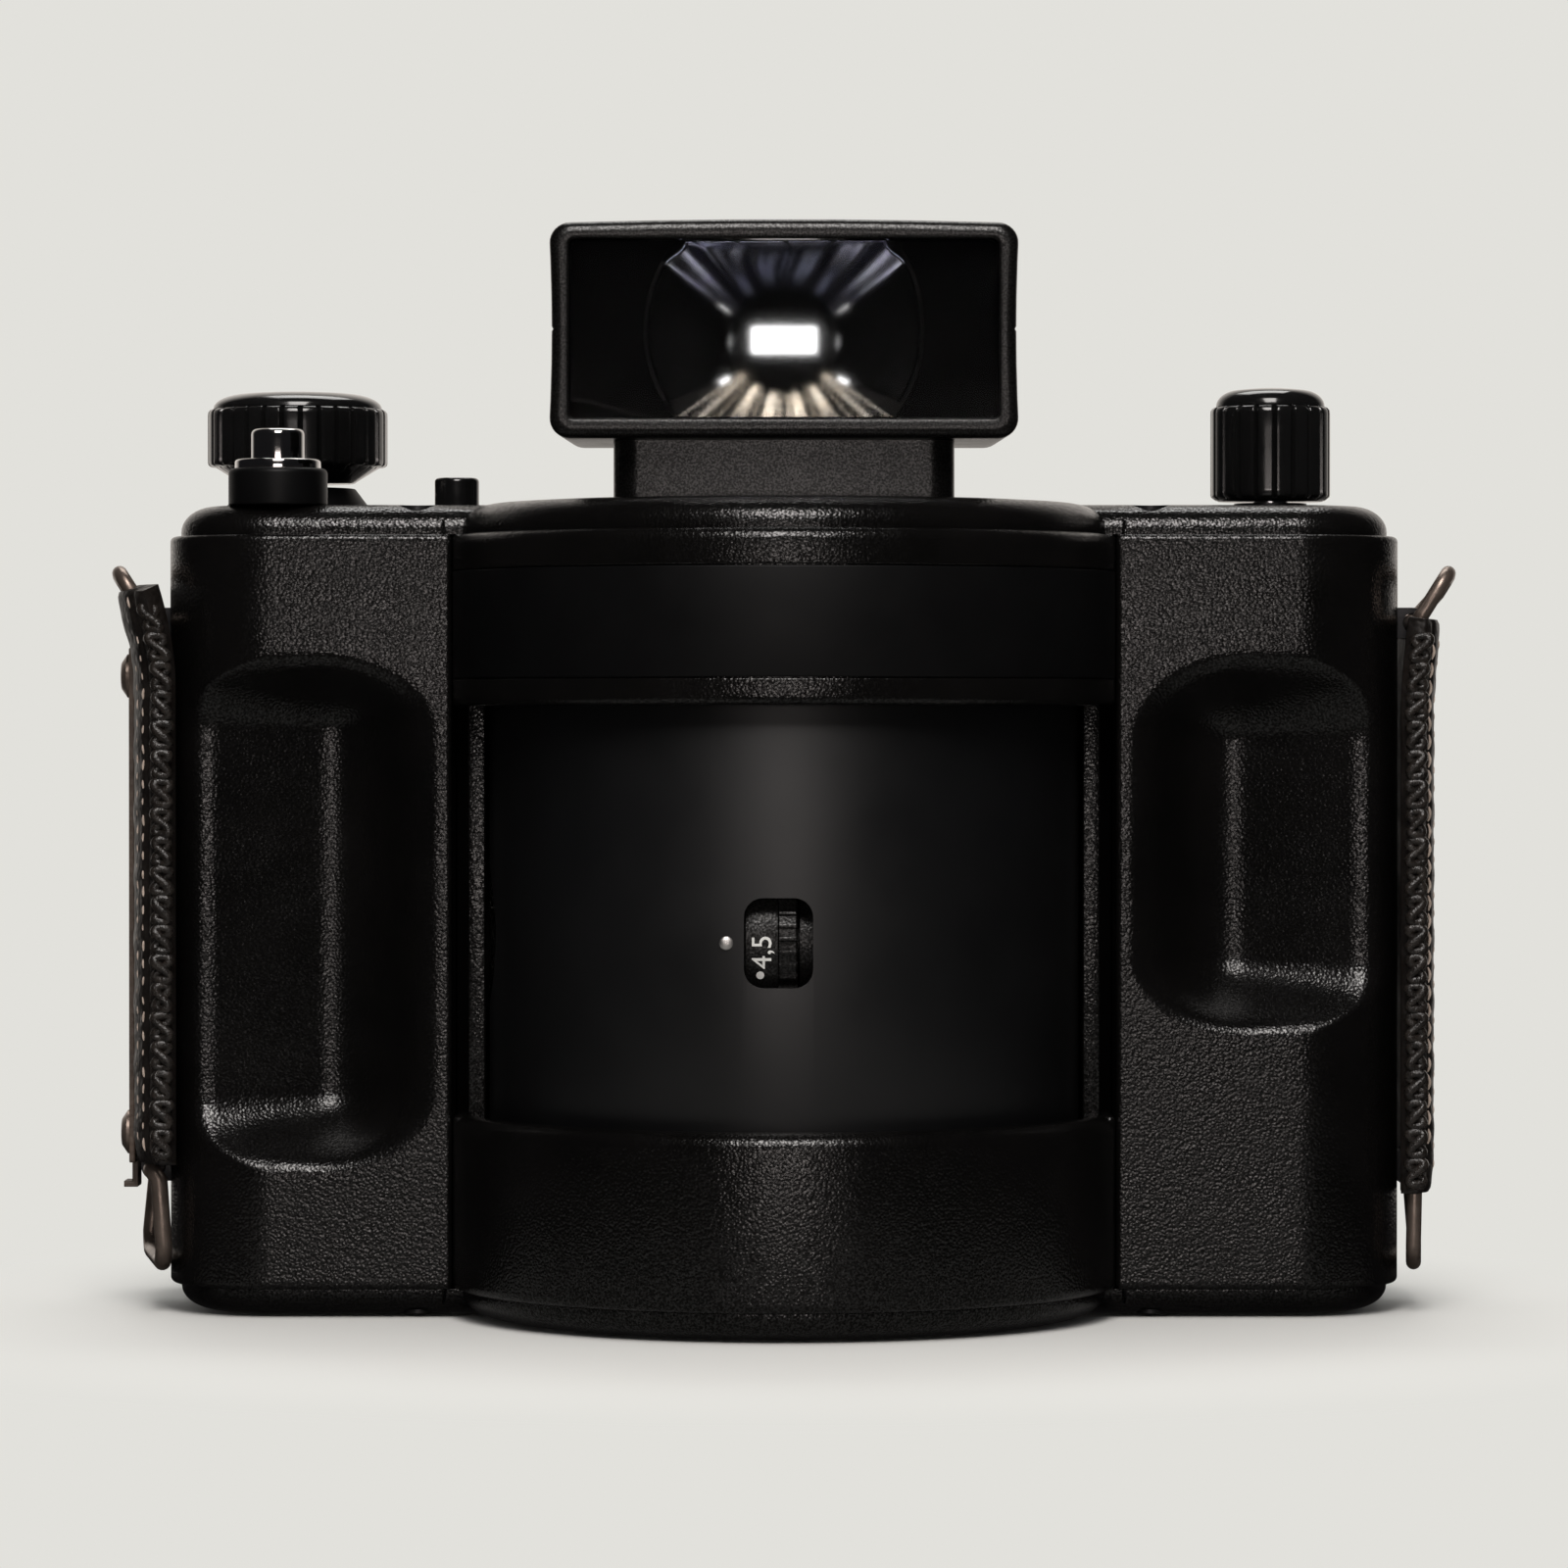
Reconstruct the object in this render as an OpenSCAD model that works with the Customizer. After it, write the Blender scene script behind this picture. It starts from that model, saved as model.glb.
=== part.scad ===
// Panoramic camera with a rotating lens drum, for 120 roll film.
// Millimetres, +Z up, the lens side faces -Y, origin in the tripod socket mouth under the drum axis.

/* [Body] */
// Width over the two grips
body_w = 203.6; // [198:0.2:212]
// Height from the base to the top cover
body_h = 133; // [132:0.5:138]
// Grip fronts ahead of the drum axis
grip_front = 10; // [9:0.5:12]
// Outer face of the door behind the drum axis
body_back = 60; // [59.5:0.5:66]
// Vertical corner radius of the grips
corner_r = 15; // [12:0.5:17]
// Wall of the grips
wall = 2.5; // [2:0.1:3]
// Base cover thickness
base_t = 4.5; // [4:0.1:5.5]
// Top cover thickness
top_t = 5; // [4.5:0.1:6]
// Skin of both covers
cover_skin = 2.2; // [1.8:0.1:2.6]
// Covers set in from the body outline
cover_inset = 1.8; // [1:0.1:2.4]
// Sloped edge of the covers
cover_edge = 2.6; // [1:0.1:3.4]

/* [Finger recesses] */
// Recess rim from the drum axis
recess_x = 59.9; // [59:0.1:64]
// Recess depth
recess_d = 11; // [8:0.5:12]
// Top of both recesses
recess_top = 106.4; // [100:0.2:112]
// Bottom of the left recess
recess_low_left = 25.6; // [22:0.2:34]
// Bottom of the right recess
recess_low_right = 48; // [40:0.2:56]
// Rim corner radius
recess_r = 13; // [11.5:0.5:15]
// Sideways run of the recess walls
recess_run = 10; // [6:0.2:11]

/* [Drum housing] */
// Housing radius
housing_r = 55; // [54.5:0.1:57]
// Housing wall
housing_wall = 4.4; // [3.6:0.1:4.8]
// Top of the lower ring
lower_ring_top = 33; // [32:0.2:34.5]
// Underside of the upper ring
upper_ring_low = 100; // [98:0.2:101.5]
// Jamb width
jamb_w = 2.6; // [2:0.1:3.2]
// Name band height
band_h = 17.7; // [12:0.1:20]
// Name band above the ring's underside
band_rise = 4.3; // [3:0.1:6]
// Name band thickness
band_t = 0.6; // [0.4:0.1:1]

/* [Drum and lens] */
// Air round the drum
drum_gap = 2.1; // [1.4:0.1:2.5]
// Drum wall
drum_wall = 2; // [1.6:0.1:2.4]
// Drum end plates
drum_plate_t = 1.7; // [1.4:0.1:2.2]
// Drum edge hidden behind each ring
drum_tuck = 1.5; // [1:0.1:2]
// Height of the optical axis
axis_z = 62.5; // [61.5:0.1:63.5]
// Film behind the drum's skin; its radius is the focal length
film_gap = 1.5; // [1.4:0.1:1.9]
// Aperture window width
window_w = 10.9; // [10:0.1:12]
// Aperture window height
window_h = 14.2; // [12:0.1:16]
// Aperture window corner radius
window_r = 2.4; // [1.5:0.1:3]
// Aperture window beside the axis
window_x = -0.86; // [-2:0.02:2]
// Index pin diameter
pin_d = 2.2; // [1.6:0.1:2.8]
// Index pin beside the axis
pin_x = -9.1; // [-12:0.1:-8.4]
// Lens opening radius in the drum
lens_open_r = 12; // [11:0.1:12.8]
// Lens barrel wall
barrel_wall = 3; // [2:0.1:4]
// Exposure slit width
slit_w = 4; // [2:0.5:6]
// Image height on the film
image_h = 50; // [48:0.5:52]
// Trunnion radius
trunnion_r = 5; // [4.5:0.1:6]
// Deck thickness
deck_t = 3; // [2.5:0.1:3.5]
// Drum gear teeth
drum_teeth = 90;
// Motor pinion teeth
pinion_teeth = 16;
// Motor radius
motor_r = 12; // [10:0.5:13]
// Direction of the motor from the drum axis, degrees
motor_at = 40; // [34:1:46]
// Aperture wheel axis inside the drum's skin
wheel_in = 16.5; // [16.4:0.1:17]
// Aperture wheel number band radius
wheel_r = 13.6; // [13:0.1:13.9]
// Aperture wheel knurl radius
knurl_r = 14.3; // [14:0.1:14.4]
// Aperture wheel knurl teeth
knurl_n = 42;
// Aperture wheel number band width
number_w = 5.4; // [4.5:0.1:5.6]
// Aperture wheel knurl width
knurl_w = 3; // [2.4:0.1:3.4]
// Aperture wheel gear teeth
wheel_teeth = 30;
// Aperture ring gear teeth
ring_teeth = 50;

/* [Film path] */
// Spool axes inside the body side
spool_in = 18.8; // [18.4:0.1:19.8]
// Spool axes behind the drum axis
spool_y = 38; // [37:0.1:38.6]
// Spool length
spool_l = 64.8; // [64:0.1:65.2]
// Spool flange radius
flange_r = 12.6; // [12:0.1:13]
// Spool core radius
core_r = 5.5; // [4.6:0.1:6.5]
// Film width
film_w = 61.5; // [61:0.1:62]
// Chamber plate thickness
chamber_t = 3; // [2.5:0.1:3.2]
// Chamber front wall behind the drum axis
chamber_y = 18; // [17:0.2:20]
// Guide roller radius
roller_r = 4.5; // [3.5:0.1:4.8]
// Guide roller axis outside the housing
roller_out = 2.5; // [2:0.1:3.5]
// Guide rollers behind the drum axis
roller_y = 14; // [13:0.1:14.5]
// Guide roller pin radius
roller_pin_r = 1; // [0.8:0.1:1.4]

/* [Top controls] */
// Wind knob radius
wind_r = 15.3; // [14:0.1:16.5]
// Wind knob ribs
wind_n = 30;
// Ribbed height of the wind knob
wind_rib_h = 9.9; // [8:0.1:12]
// Wind knob crown above its ribs
wind_dome = 3; // [2:0.1:4]
// Height of the wind knob's undercut cone
wind_cone = 2.7; // [2:0.1:4]
// Wind boss height
wind_boss_h = 4.1; // [3:0.1:5]
// Wind boss radius at its foot
wind_boss_r = 12.9; // [12:0.1:14]
// Wind boss radius at its top
wind_boss_top = 9.8; // [9:0.1:11]
// Wind shaft radius
wind_shaft_r = 5; // [4.5:0.1:5.2]
// Supply knob radius
supply_r = 10.2; // [9:0.1:11.5]
// Supply knob ribs
supply_n = 20;
// Ribbed height of the supply knob
supply_rib_h = 16.1; // [14:0.1:18]
// Supply knob crown above its ribs
supply_dome = 3.3; // [2:0.1:4]
// Supply knob above the cover
supply_gap = 1.9; // [1.6:0.1:3]
// Supply sleeve radius
sleeve_r = 6.2; // [5.5:0.1:7]
// Supply spindle radius
spindle_r = 3; // [2.6:0.1:3.4]
// Supply lift travel
supply_lift = 9; // [7:0.5:10]
// Release inside the body side
release_in = 18.4; // [16:0.1:21]
// Release behind the drum axis
release_y = 0.5; // [0:0.1:3]
// Release collar diameter
collar_d = 16.3; // [14:0.1:18]
// Release collar height
collar_h = 6.1; // [5:0.1:7]
// Release ring diameter
release_ring_d = 14.3; // [12:0.1:15]
// Release ring height
release_ring_h = 1.6; // [1:0.1:2]
// Release button diameter
button_d = 8.8; // [7:0.1:10]
// Release button above its ring
button_rise = 4.9; // [4:0.1:6]
// Release stroke
button_stroke = 2.5; // [2:0.1:3.5]
// Release button stem radius
stem_r = 2.4; // [2.2:0.1:2.8]
// Cable release thread radius
cable_r = 1.6; // [1.4:0.1:1.8]
// Small button beside the drum axis
small_x = 54.4; // [53:0.1:57]
// Small button behind the drum axis
small_y = 10; // [9:0.1:12]
// Small button diameter
small_d = 7.4; // [6:0.1:8.4]
// Small button above the cover
small_rise = 4.9; // [4:0.1:6]
// Small button stroke
small_stroke = 1.5; // [1:0.1:2]
// Speed dial radius
dial_r = 9; // [7:0.1:11]
// Speed dial behind the drum axis
dial_y = 36; // [32:0.5:40]
// Speed dial height
dial_h = 4; // [3:0.1:5]
// Counter gear module
counter_m = 0.8;
// Counter pinion teeth on the wind shaft
counter_pinion = 16;
// Counter dial teeth
counter_teeth = 40;
// Direction of the counter from the wind shaft, degrees
counter_at = -30; // [-34:1:-28]

/* [Viewfinder] */
// Finder width
finder_w = 74.5; // [68:0.1:80]
// Finder height
finder_h = 34.3; // [30:0.1:38]
// Finder front ahead of the drum axis
finder_front = 30; // [26:0.5:34]
// Finder depth
finder_d = 45; // [38:0.5:52]
// Finder corner radius
finder_r = 3.2; // [2:0.1:4]
// Finder side wall
finder_wall = 2.7; // [2.2:0.1:3.2]
// Finder lens thickness
finder_lens_t = 2.4; // [1.5:0.1:3]
// Neck width
neck_w = 55.2; // [48:0.2:60]
// Neck height
neck_h = 9.8; // [8:0.1:12]
// Neck front ahead of the drum axis
neck_front = 22; // [18:0.5:25]
// Neck depth
neck_d = 30; // [24:0.5:34]

/* [Door and base] */
// Door tray depth
door_d = 6.7; // [6:0.1:7.5]
// Door skin
door_skin = 2.8; // [2:0.1:3.2]
// Door corner radius
door_r = 6.5; // [4:0.1:6.6]
// Hinge pin radius
hinge_pin_r = 1.3; // [1:0.1:1.5]
// Hinge knuckle radius
knuckle_r = 2.6; // [2.2:0.1:3]
// Hinge knuckle length
knuckle_l = 9; // [7:0.5:12]
// Pressure plate thickness
pressure_t = 1.8; // [1.4:0.1:2]
// Pressure plate half angle, degrees
pressure_a = 55; // [45:1:56]
// Door latch height
latch_h = 18; // [14:0.5:24]
// Door latch thickness
latch_t = 1.4; // [1:0.1:2]
// Door latch reach over the body side
latch_reach = 6; // [4:0.5:8]
// Tripod thread radius
tripod_r = 3.175; // [3:0.005:4.8]
// Tripod bush radius
tripod_bush_r = 6.5; // [6:0.1:8]
// Battery cap radius
cap_r = 8; // [7.4:0.1:9]
// Battery cell radius
cell_r = 5.2; // [5:0.1:5.3]
// Screw head radius
screw_head_r = 2.8; // [2.4:0.1:3]
// Screw shank radius
screw_r = 1.5; // [1.2:0.1:1.7]

/* [Hand straps] */
// Strap pad thickness
pad_t = 5; // [3.5:0.1:6]
// Strap pad length
pad_l = 94.6; // [88:0.2:98]
// Bottom of the left pad
pad_low_left = 24.7; // [22:0.1:27]
// Bottom of the right pad
pad_low_right = 19.8; // [18:0.1:24]
// Wrap of the left pad round the grip corner, degrees
pad_wrap_left = 40; // [32:1:46]
// Wrap of the right pad round the grip corner, degrees
pad_wrap_right = 30; // [28:1:44]
// Back edge of the pads behind the drum axis
pad_back = 37; // [34:0.5:42]
// Wire diameter of the rings
wire_d = 2.5; // [2:0.1:2.8]
// Ring width
ring_w = 30; // [26:0.5:31]
// Ring front leg behind the drum axis
ring_y = -1.3; // [-1.6:0.1:0]
// Upper ring length
ring_up_l = 9.5; // [8:0.1:12]
// Lower ring length
ring_low_l = 15.5; // [12:0.1:16]
// Height of the upper ring hinges
ring_up_z = 113.8; // [112:0.1:115]
// Height of the lower ring hinges
ring_low_z = 23.6; // [22:0.1:25]
// Ring hinges outside the grip side
ring_out = 2.5; // [2.4:0.1:3]
// Rest tilt of the upper rings, degrees
ring_tilt = 32; // [20:1:40]
// Belt thickness
belt_t = 1; // [0.8:0.1:1.6]
// Belt width
belt_w = 16; // [12:0.5:18]
// Rivet head diameter
rivet_d = 7.3; // [6:0.1:8]
// Rivet head height
rivet_h = 1.9; // [1.4:0.1:2.4]
// Height of the upper rivet
rivet_up_z = 105; // [100:0.2:106]
// Height of the lower rivet
rivet_low_z = 28.9; // [28.8:0.1:34]

/* [Clearances] */
// Running fit of shafts, on the radius
run = 0.05;
// Fit between fixed round pieces, on the radius
seat = 0.03;
// Air between moving pieces
air = 0.35;
// Air at the drum's ends
drum_air = 0.8;
// Flank relief of every gear tooth
gear_relief = 0.1;

/* [Hidden] */
$fn = 72;
half_w = body_w / 2;
spool_x = half_w - spool_in;
release_x = half_w - release_in;
housing_bore_r = housing_r - housing_wall;
drum_r = housing_bore_r - drum_gap;
film_r = drum_r + film_gap;
corner_x = half_w - corner_r;
corner_y = -grip_front + corner_r;
cover_z = body_h - top_t;
shell_h = cover_z - base_t;
door_y = body_back - door_d;
shell_back = door_y - air;
inner_x = half_w - wall;
seam = 0.12;
jamb_x = sqrt(housing_bore_r * housing_bore_r - grip_front * grip_front);
grip_x = sqrt(housing_r * housing_r - grip_front * grip_front) + seam;
jamb_front = 8;
jamb_back = 6;
leg_back = 8;
drum_low = lower_ring_top - drum_tuck;
drum_top = upper_ring_low + drum_tuck;
plate_low = drum_low - drum_plate_t;
plate_top = drum_top + drum_plate_t;
deck_low = plate_low - drum_air;
deck_up = plate_top + drum_air;
gear_t = 3;
gear_in = 3.5;
drive_m = 2 * (drum_r - gear_in) / drum_teeth;
gear_top = deck_low - deck_t - 1;
gear_r = drive_m * drum_teeth / 2;
pinion_r = drive_m * pinion_teeth / 2;
motor_gap = gear_r + pinion_r;
roller_x = housing_r + roller_out;
motor_x = motor_gap * cos(motor_at);
motor_y = motor_gap * sin(motor_at);
motor_shaft_r = 1.5;
motor_top = gear_top - gear_t - 2;
skirt_t = 2;
skirt_gap = 0.2;
skirt_y = shell_back - skirt_gap - skirt_t;
spool_low = axis_z - spool_l / 2;
spool_top = axis_z + spool_l / 2;
floor_z = spool_low - 0.5;
ceil_z = spool_top + 0.5;
pivot_r = 3.2;
gate_r = drum_r + drum_air;
gate_out = film_r + 2.6;
gate_a = 73;
image_a = 68.75;
wheel_y = drum_r - wheel_in;
barrel_r = wheel_y / 2;
iris_m = 2 * wheel_y / (wheel_teeth + ring_teeth);
wheel_x = window_x - window_w / 2 + 0.05;
gear_w = 2.4;
wheel_gear_x = wheel_x + number_w + knurl_w + 0.4;
axle_r = 1.5;
arm_t = 2;
barrel_front = -sqrt(pow(drum_r - drum_wall - air, 2) - barrel_r * barrel_r);
collar_x = 1.3;
counter_gap = counter_m * (counter_pinion + counter_teeth) / 2;
counter_x = -spool_x + counter_gap * cos(counter_at);
counter_y = spool_y + counter_gap * sin(counter_at);
counter_z = cover_z - 4;
counter_t = 2;
arbor_r = 1.5;
wind_low = body_h + wind_boss_h + 0.9;
supply_low = body_h + supply_gap;
finder_low = body_h + neck_h;
finder_mid = finder_low + finder_h / 2;
hinge_x = half_w + knuckle_r + air;
hinge_y = door_y - air / 2;
wire_r = wire_d / 2;
ring_x = half_w + ring_out;
lug_r = wire_r + air + 0.9;
lug_w = 12;
ring_mid = ring_y + ring_w / 2;
pad_gap = 0.8;
pad_out = half_w + pad_gap + pad_t;
notch_low = ring_y - wire_r - 0.6;
notch_high = ring_y + ring_w + wire_r + 0.6;
notch_z = lug_r + 1.6;
cap_x = -(roller_x + 7 + inner_x) / 2;
cap_y = 11;
board_w = inner_x - roller_x - 11.8;
holder_top = axis_z + 36;
post_r = 3.5;
screw_head_h = 2;
screw_sink = 0.3;
screw_in = cover_inset + cover_edge + screw_head_r - screw_sink;
screw_pts = [
    [half_w - screw_in, chamber_y + post_r + 0.5],
    [half_w - screw_in, skirt_y - 4],
    [grip_x + wall + post_r, -grip_front + screw_in]
];
post_h = 10;

// Shared shapes

module left() {
    mirror([1, 0, 0]) children();
}

module along_x() {
    rotate([0, 90, 0]) children();
}

module along_y() {
    rotate([-90, 0, 0]) children();
}

// Half angle of an involute tooth at radius r, in degrees
function roll(a) = tan(a) * 180 / PI - a;
function tooth_half(m, n, r) =
    let (rp = m * n / 2, rb = rp * cos(20))
    90 / n - gear_relief / rp * 180 / PI + roll(20) - roll(acos(min(1, rb / max(r, rb))));

function polar(r, a) = [r * cos(a), r * sin(a)];

function gear_points(m, n) =
    let (rp = m * n / 2, ra = rp + 0.75 * m, rr = rp - 1.15 * m, rb = max(rr, rp * cos(20)))
    [for (i = [0:n - 1])
        for (f = concat(rb > rr ? [[rr, -1]] : [],
                [[rb, -1], [rp, -1], [ra, -1], [ra, 1], [rp, 1], [rb, 1]],
                rb > rr ? [[rr, 1]] : []))
            polar(f[0], i * 360 / n + f[1] * tooth_half(m, n, f[0]))];

module gear(m, n, h, turn) {
    rotate([0, 0, turn]) linear_extrude(h) polygon(gear_points(m, n));
}

// Outline of a knob with n ribs, each crowned, with a narrow groove between them
function rib_points(r, n, depth, gap) =
    [for (i = [0:n - 1])
        for (p = [[-gap / 2, 0.25 * depth], [0, depth], [gap / 2, 0.25 * depth], [PI * r / n, 0]])
            polar(r - p[1], 360 * i / n + p[0] / r * 180 / PI)];

module ribbed(r, n, h, depth, gap) {
    linear_extrude(h) polygon(rib_points(r, n, depth, gap));
}

// Quarter-round crown over a knob of radius r, h high
function crown_points(r, h) =
    concat([[0, 0]], [for (a = [0:10:90]) [r - 0.55 * r * (1 - cos(a)), h * sin(a)]], [[0, h]]);

module crown(r, h) {
    rotate_extrude() polygon(crown_points(r, h));
}

module tube(r_out, r_in, h) {
    difference() {
        cylinder(h, r = r_out);
        translate([0, 0, -1]) cylinder(h + 2, r = r_in);
    }
}

// Rectangle with round corners, centred
module plate2d(w, h, r) {
    square([w - 2 * r, h], center = true);
    square([w, h - 2 * r], center = true);
    for (x = [-1, 1], y = [-1, 1]) translate([x * (w / 2 - r), y * (h / 2 - r)]) circle(r);
}

// Body

module grip_plan(inset, x0, y1) {
    yf = -grip_front + inset;
    translate([x0, yf]) square([corner_x - x0, y1 - yf]);
    translate([x0, corner_y]) square([half_w - inset - x0, y1 - corner_y]);
    translate([corner_x, corner_y]) circle(corner_r - inset);
}

// Pocket with sloped walls and round corners, open to the outer side
module recess(low, grow) {
    ahead = 2;
    slope = recess_run / recess_d;
    deep = recess_d + grow + ahead;
    r0 = recess_r + grow + ahead * slope;
    r1 = r0 - deep * slope;
    x = recess_x + recess_r;
    y0 = -grip_front - ahead;
    z0 = low + recess_r;
    z1 = recess_top - recess_r;
    for (z = [z0, z1]) translate([x, y0, z]) along_y() cylinder(deep, r1 = r0, r2 = r1);
    translate([x, 0, z0]) linear_extrude(z1 - z0)
        polygon([[-r0, y0], [0, y0], [0, y0 + deep], [-r1, y0 + deep]]);
    translate([x, 0, 0]) rotate([90, 0, 90]) linear_extrude(half_w + 5 - x)
        polygon([[y0, z0 - r0], [y0 + deep, z0 - r1], [y0 + deep, z1 + r1], [y0, z1 + r0]]);
}

module screw_posts(r, z_low, z_top, h) {
    for (p = screw_pts, z = [z_low, z_top]) translate([p[0], p[1], z]) cylinder(h, r = r);
}

module screw_webs() {
    for (z = [base_t, cover_z - post_h]) {
        for (i = [0, 1]) translate([screw_pts[i][0], screw_pts[i][1] - 1.5, z])
            cube([half_w - 1 - screw_pts[i][0], 3, post_h]);
        translate([screw_pts[2][0] - 1.5, -grip_front + 1, z]) cube([3, screw_pts[2][1] + grip_front - 1, post_h]);
    }
}

module grip_shell(low) {
    difference() {
        translate([0, 0, base_t]) linear_extrude(shell_h) grip_plan(0, grip_x, shell_back);
        recess(low, 0);
        difference() {
            translate([0, 0, base_t - 1]) union() {
                linear_extrude(shell_h + 2) grip_plan(wall, grip_x + wall, shell_back + 1);
                translate([grip_x - 1, leg_back - 1, 0]) cube([wall + 2, shell_back, shell_h + 2]);
            }
            recess(low, wall);
            screw_posts(post_r, base_t, cover_z - post_h, post_h);
            screw_webs();
        }
        screw_posts(screw_r + seat, base_t - 1, cover_z - post_h + 1, post_h);
    }
}

module left_grip_shell() {
    color("#26262a") left() grip_shell(recess_low_left);
}

module right_grip_shell() {
    color("#26262a") grip_shell(recess_low_right);
}

module ring_plan() {
    difference() {
        circle(housing_r);
        circle(housing_bore_r);
        translate([-housing_r - 1, -grip_front]) square([2 * housing_r + 2, 2 * housing_r]);
    }
    for (s = [0, 1]) mirror([s, 0])
        translate([jamb_x, -grip_front]) square([grip_x - jamb_x, grip_front + leg_back]);
}

module band_cut(r_out, h) {
    difference() {
        tube(r_out, housing_r - band_t, h);
        translate([-housing_r - 5, -grip_front - 2, -1]) cube([2 * housing_r + 10, 2 * housing_r, h + 2]);
    }
}

module drum_housing() {
    color("#2a2a2e") {
        difference() {
            translate([0, 0, upper_ring_low]) linear_extrude(cover_z - upper_ring_low) ring_plan();
            translate([0, 0, upper_ring_low + band_rise]) band_cut(housing_r + 2, band_h);
        }
        translate([0, 0, base_t]) linear_extrude(lower_ring_top - base_t) ring_plan();
        translate([0, 0, lower_ring_top]) linear_extrude(upper_ring_low - lower_ring_top)
            for (s = [0, 1]) mirror([s, 0]) {
                translate([jamb_x, -jamb_front]) square([jamb_w, jamb_front + jamb_back]);
                translate([jamb_x, jamb_back - wall]) square([grip_x - jamb_x, wall]);
            }
    }
}

module name_band() {
    color("#1c1c1e") translate([0, 0, upper_ring_low + band_rise]) band_cut(housing_r, band_h);
}

module cover_corner(x, y, r, h) {
    translate([x, y, 0]) cylinder(h - cover_edge, r = r);
    translate([x, y, h - cover_edge]) cylinder(cover_edge, r1 = r, r2 = r - cover_edge);
}

module cover_blank(h) {
    rf = corner_r - cover_inset;
    rb = door_r - cover_inset;
    yb = body_back - cover_inset - rb;
    rd = housing_r - cover_inset;
    hull() for (s = [-1, 1]) {
        cover_corner(s * corner_x, corner_y, rf, h);
        cover_corner(s * (half_w - cover_inset - rb), yb, rb, h);
    }
    cover_corner(0, 0, rd, h);
}

module cover_pocket(h) {
    translate([-corner_x, -grip_front + 12, 0]) cube([2 * corner_x, body_back + grip_front - 20, h]);
    cylinder(h, r = housing_bore_r - 2);
}

module top_cover() {
    color("#242428") difference() {
        translate([0, 0, cover_z]) cover_blank(top_t);
        translate([0, 0, cover_z - 1]) cover_pocket(top_t - cover_skin + 1);
        translate([-spool_x, spool_y, cover_z - 1]) cylinder(top_t + 2, r = wind_boss_top - 2 + seat);
        translate([spool_x, spool_y, cover_z - 1]) cylinder(top_t + 2, r = sleeve_r + wall + seat);
        translate([-release_x, release_y, cover_z - 1]) cylinder(top_t + 2, r = stem_r + air);
        translate([-small_x, small_y, cover_z - 1]) cylinder(top_t + 2, r = small_d / 2 + air);
        translate([0, dial_y, cover_z - 1]) cylinder(top_t + 2, r = axle_r + run);
        translate([counter_x, counter_y + 9, cover_z - 1]) cylinder(top_t + 2, r = 2.5);
        for (s = [0, 1]) mirror([s, 0, 0]) for (p = screw_pts) translate([p[0], p[1], cover_z - 1]) {
            cylinder(top_t + 2, r = screw_r + seat);
            translate([0, 0, top_t + 1 - screw_sink - screw_head_h]) cylinder(4, r = screw_head_r + seat);
        }
    }
}

module base_cover() {
    color("#242428") difference() {
        translate([0, 0, base_t]) mirror([0, 0, 1]) cover_blank(base_t);
        translate([0, 0, cover_skin]) cover_pocket(base_t - cover_skin + 1);
        translate([0, 0, -1]) cylinder(base_t + 2, r = tripod_bush_r + seat);
        translate([cap_x, cap_y, -1]) cylinder(base_t + 2, r = cap_r + air);
        for (s = [0, 1]) mirror([s, 0, 0]) for (p = screw_pts) translate([p[0], p[1], -1]) {
            cylinder(base_t + 2, r = screw_r + seat);
            cylinder(1 + screw_sink + screw_head_h, r = screw_head_r + seat);
        }
    }
}

module cover_screw(h) {
    difference() {
        union() {
            cylinder(screw_head_h, r = screw_head_r);
            cylinder(h, r = screw_r);
        }
        translate([-screw_head_r - 1, -0.4, -1]) cube([2 * screw_head_r + 2, 0.8, 1.8]);
    }
}

module cover_screws() {
    color("#3a3a3c") for (s = [0, 1]) mirror([s, 0, 0]) for (p = screw_pts) {
        translate([p[0], p[1], screw_sink]) cover_screw(base_t + post_h - 3);
        translate([p[0], p[1], body_h - screw_sink]) mirror([0, 0, 1]) cover_screw(top_t + post_h - 3);
    }
}

// Decks, bearings and film gate

module deck_plan() {
    intersection() {
        circle(housing_bore_r - 0.2);
        square([2 * jamb_x, 4 * housing_r], center = true);
    }
    translate([-jamb_x, 0]) square([2 * jamb_x, shell_back - skirt_gap]);
}

module bush_hole(z) {
    translate([0, 0, z - 1]) cylinder(deck_t + 2, r = trunnion_r + 4 + seat);
}

module upper_deck() {
    color("#8c8f92") {
        difference() {
            translate([0, 0, deck_up]) linear_extrude(deck_t) deck_plan();
            bush_hole(deck_up);
        }
        translate([-jamb_x, skirt_y, deck_up + deck_t]) cube([2 * jamb_x, skirt_t, cover_z - deck_up - deck_t]);
    }
}

module lower_deck() {
    color("#8c8f92") {
        difference() {
            translate([0, 0, deck_low - deck_t]) linear_extrude(deck_t) deck_plan();
            bush_hole(deck_low - deck_t);
        }
        translate([-jamb_x, skirt_y, base_t]) cube([2 * jamb_x, skirt_t, deck_low - deck_t - base_t]);
    }
}

module drum_bearings() {
    color("#b08d45") for (z = [deck_low - deck_t, deck_up])
        translate([0, 0, z]) tube(trunnion_r + 4, trunnion_r + run, deck_t);
}

module sector(a, r0, r1, h) {
    rotate([0, 0, 90 - a]) rotate_extrude(angle = 2 * a) translate([r0, 0]) square([r1 - r0, h]);
}

module film_gate() {
    color("#3c3d40") difference() {
        translate([0, 0, deck_low]) sector(gate_a, gate_r, gate_out, deck_up - deck_low);
        translate([0, 0, axis_z - film_w / 2 - 0.5]) sector(gate_a + 5, film_r, gate_out + 2, film_w + 1);
        translate([0, 0, axis_z - image_h / 2]) sector(image_a, gate_r - 2, gate_out + 2, image_h);
    }
}

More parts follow.
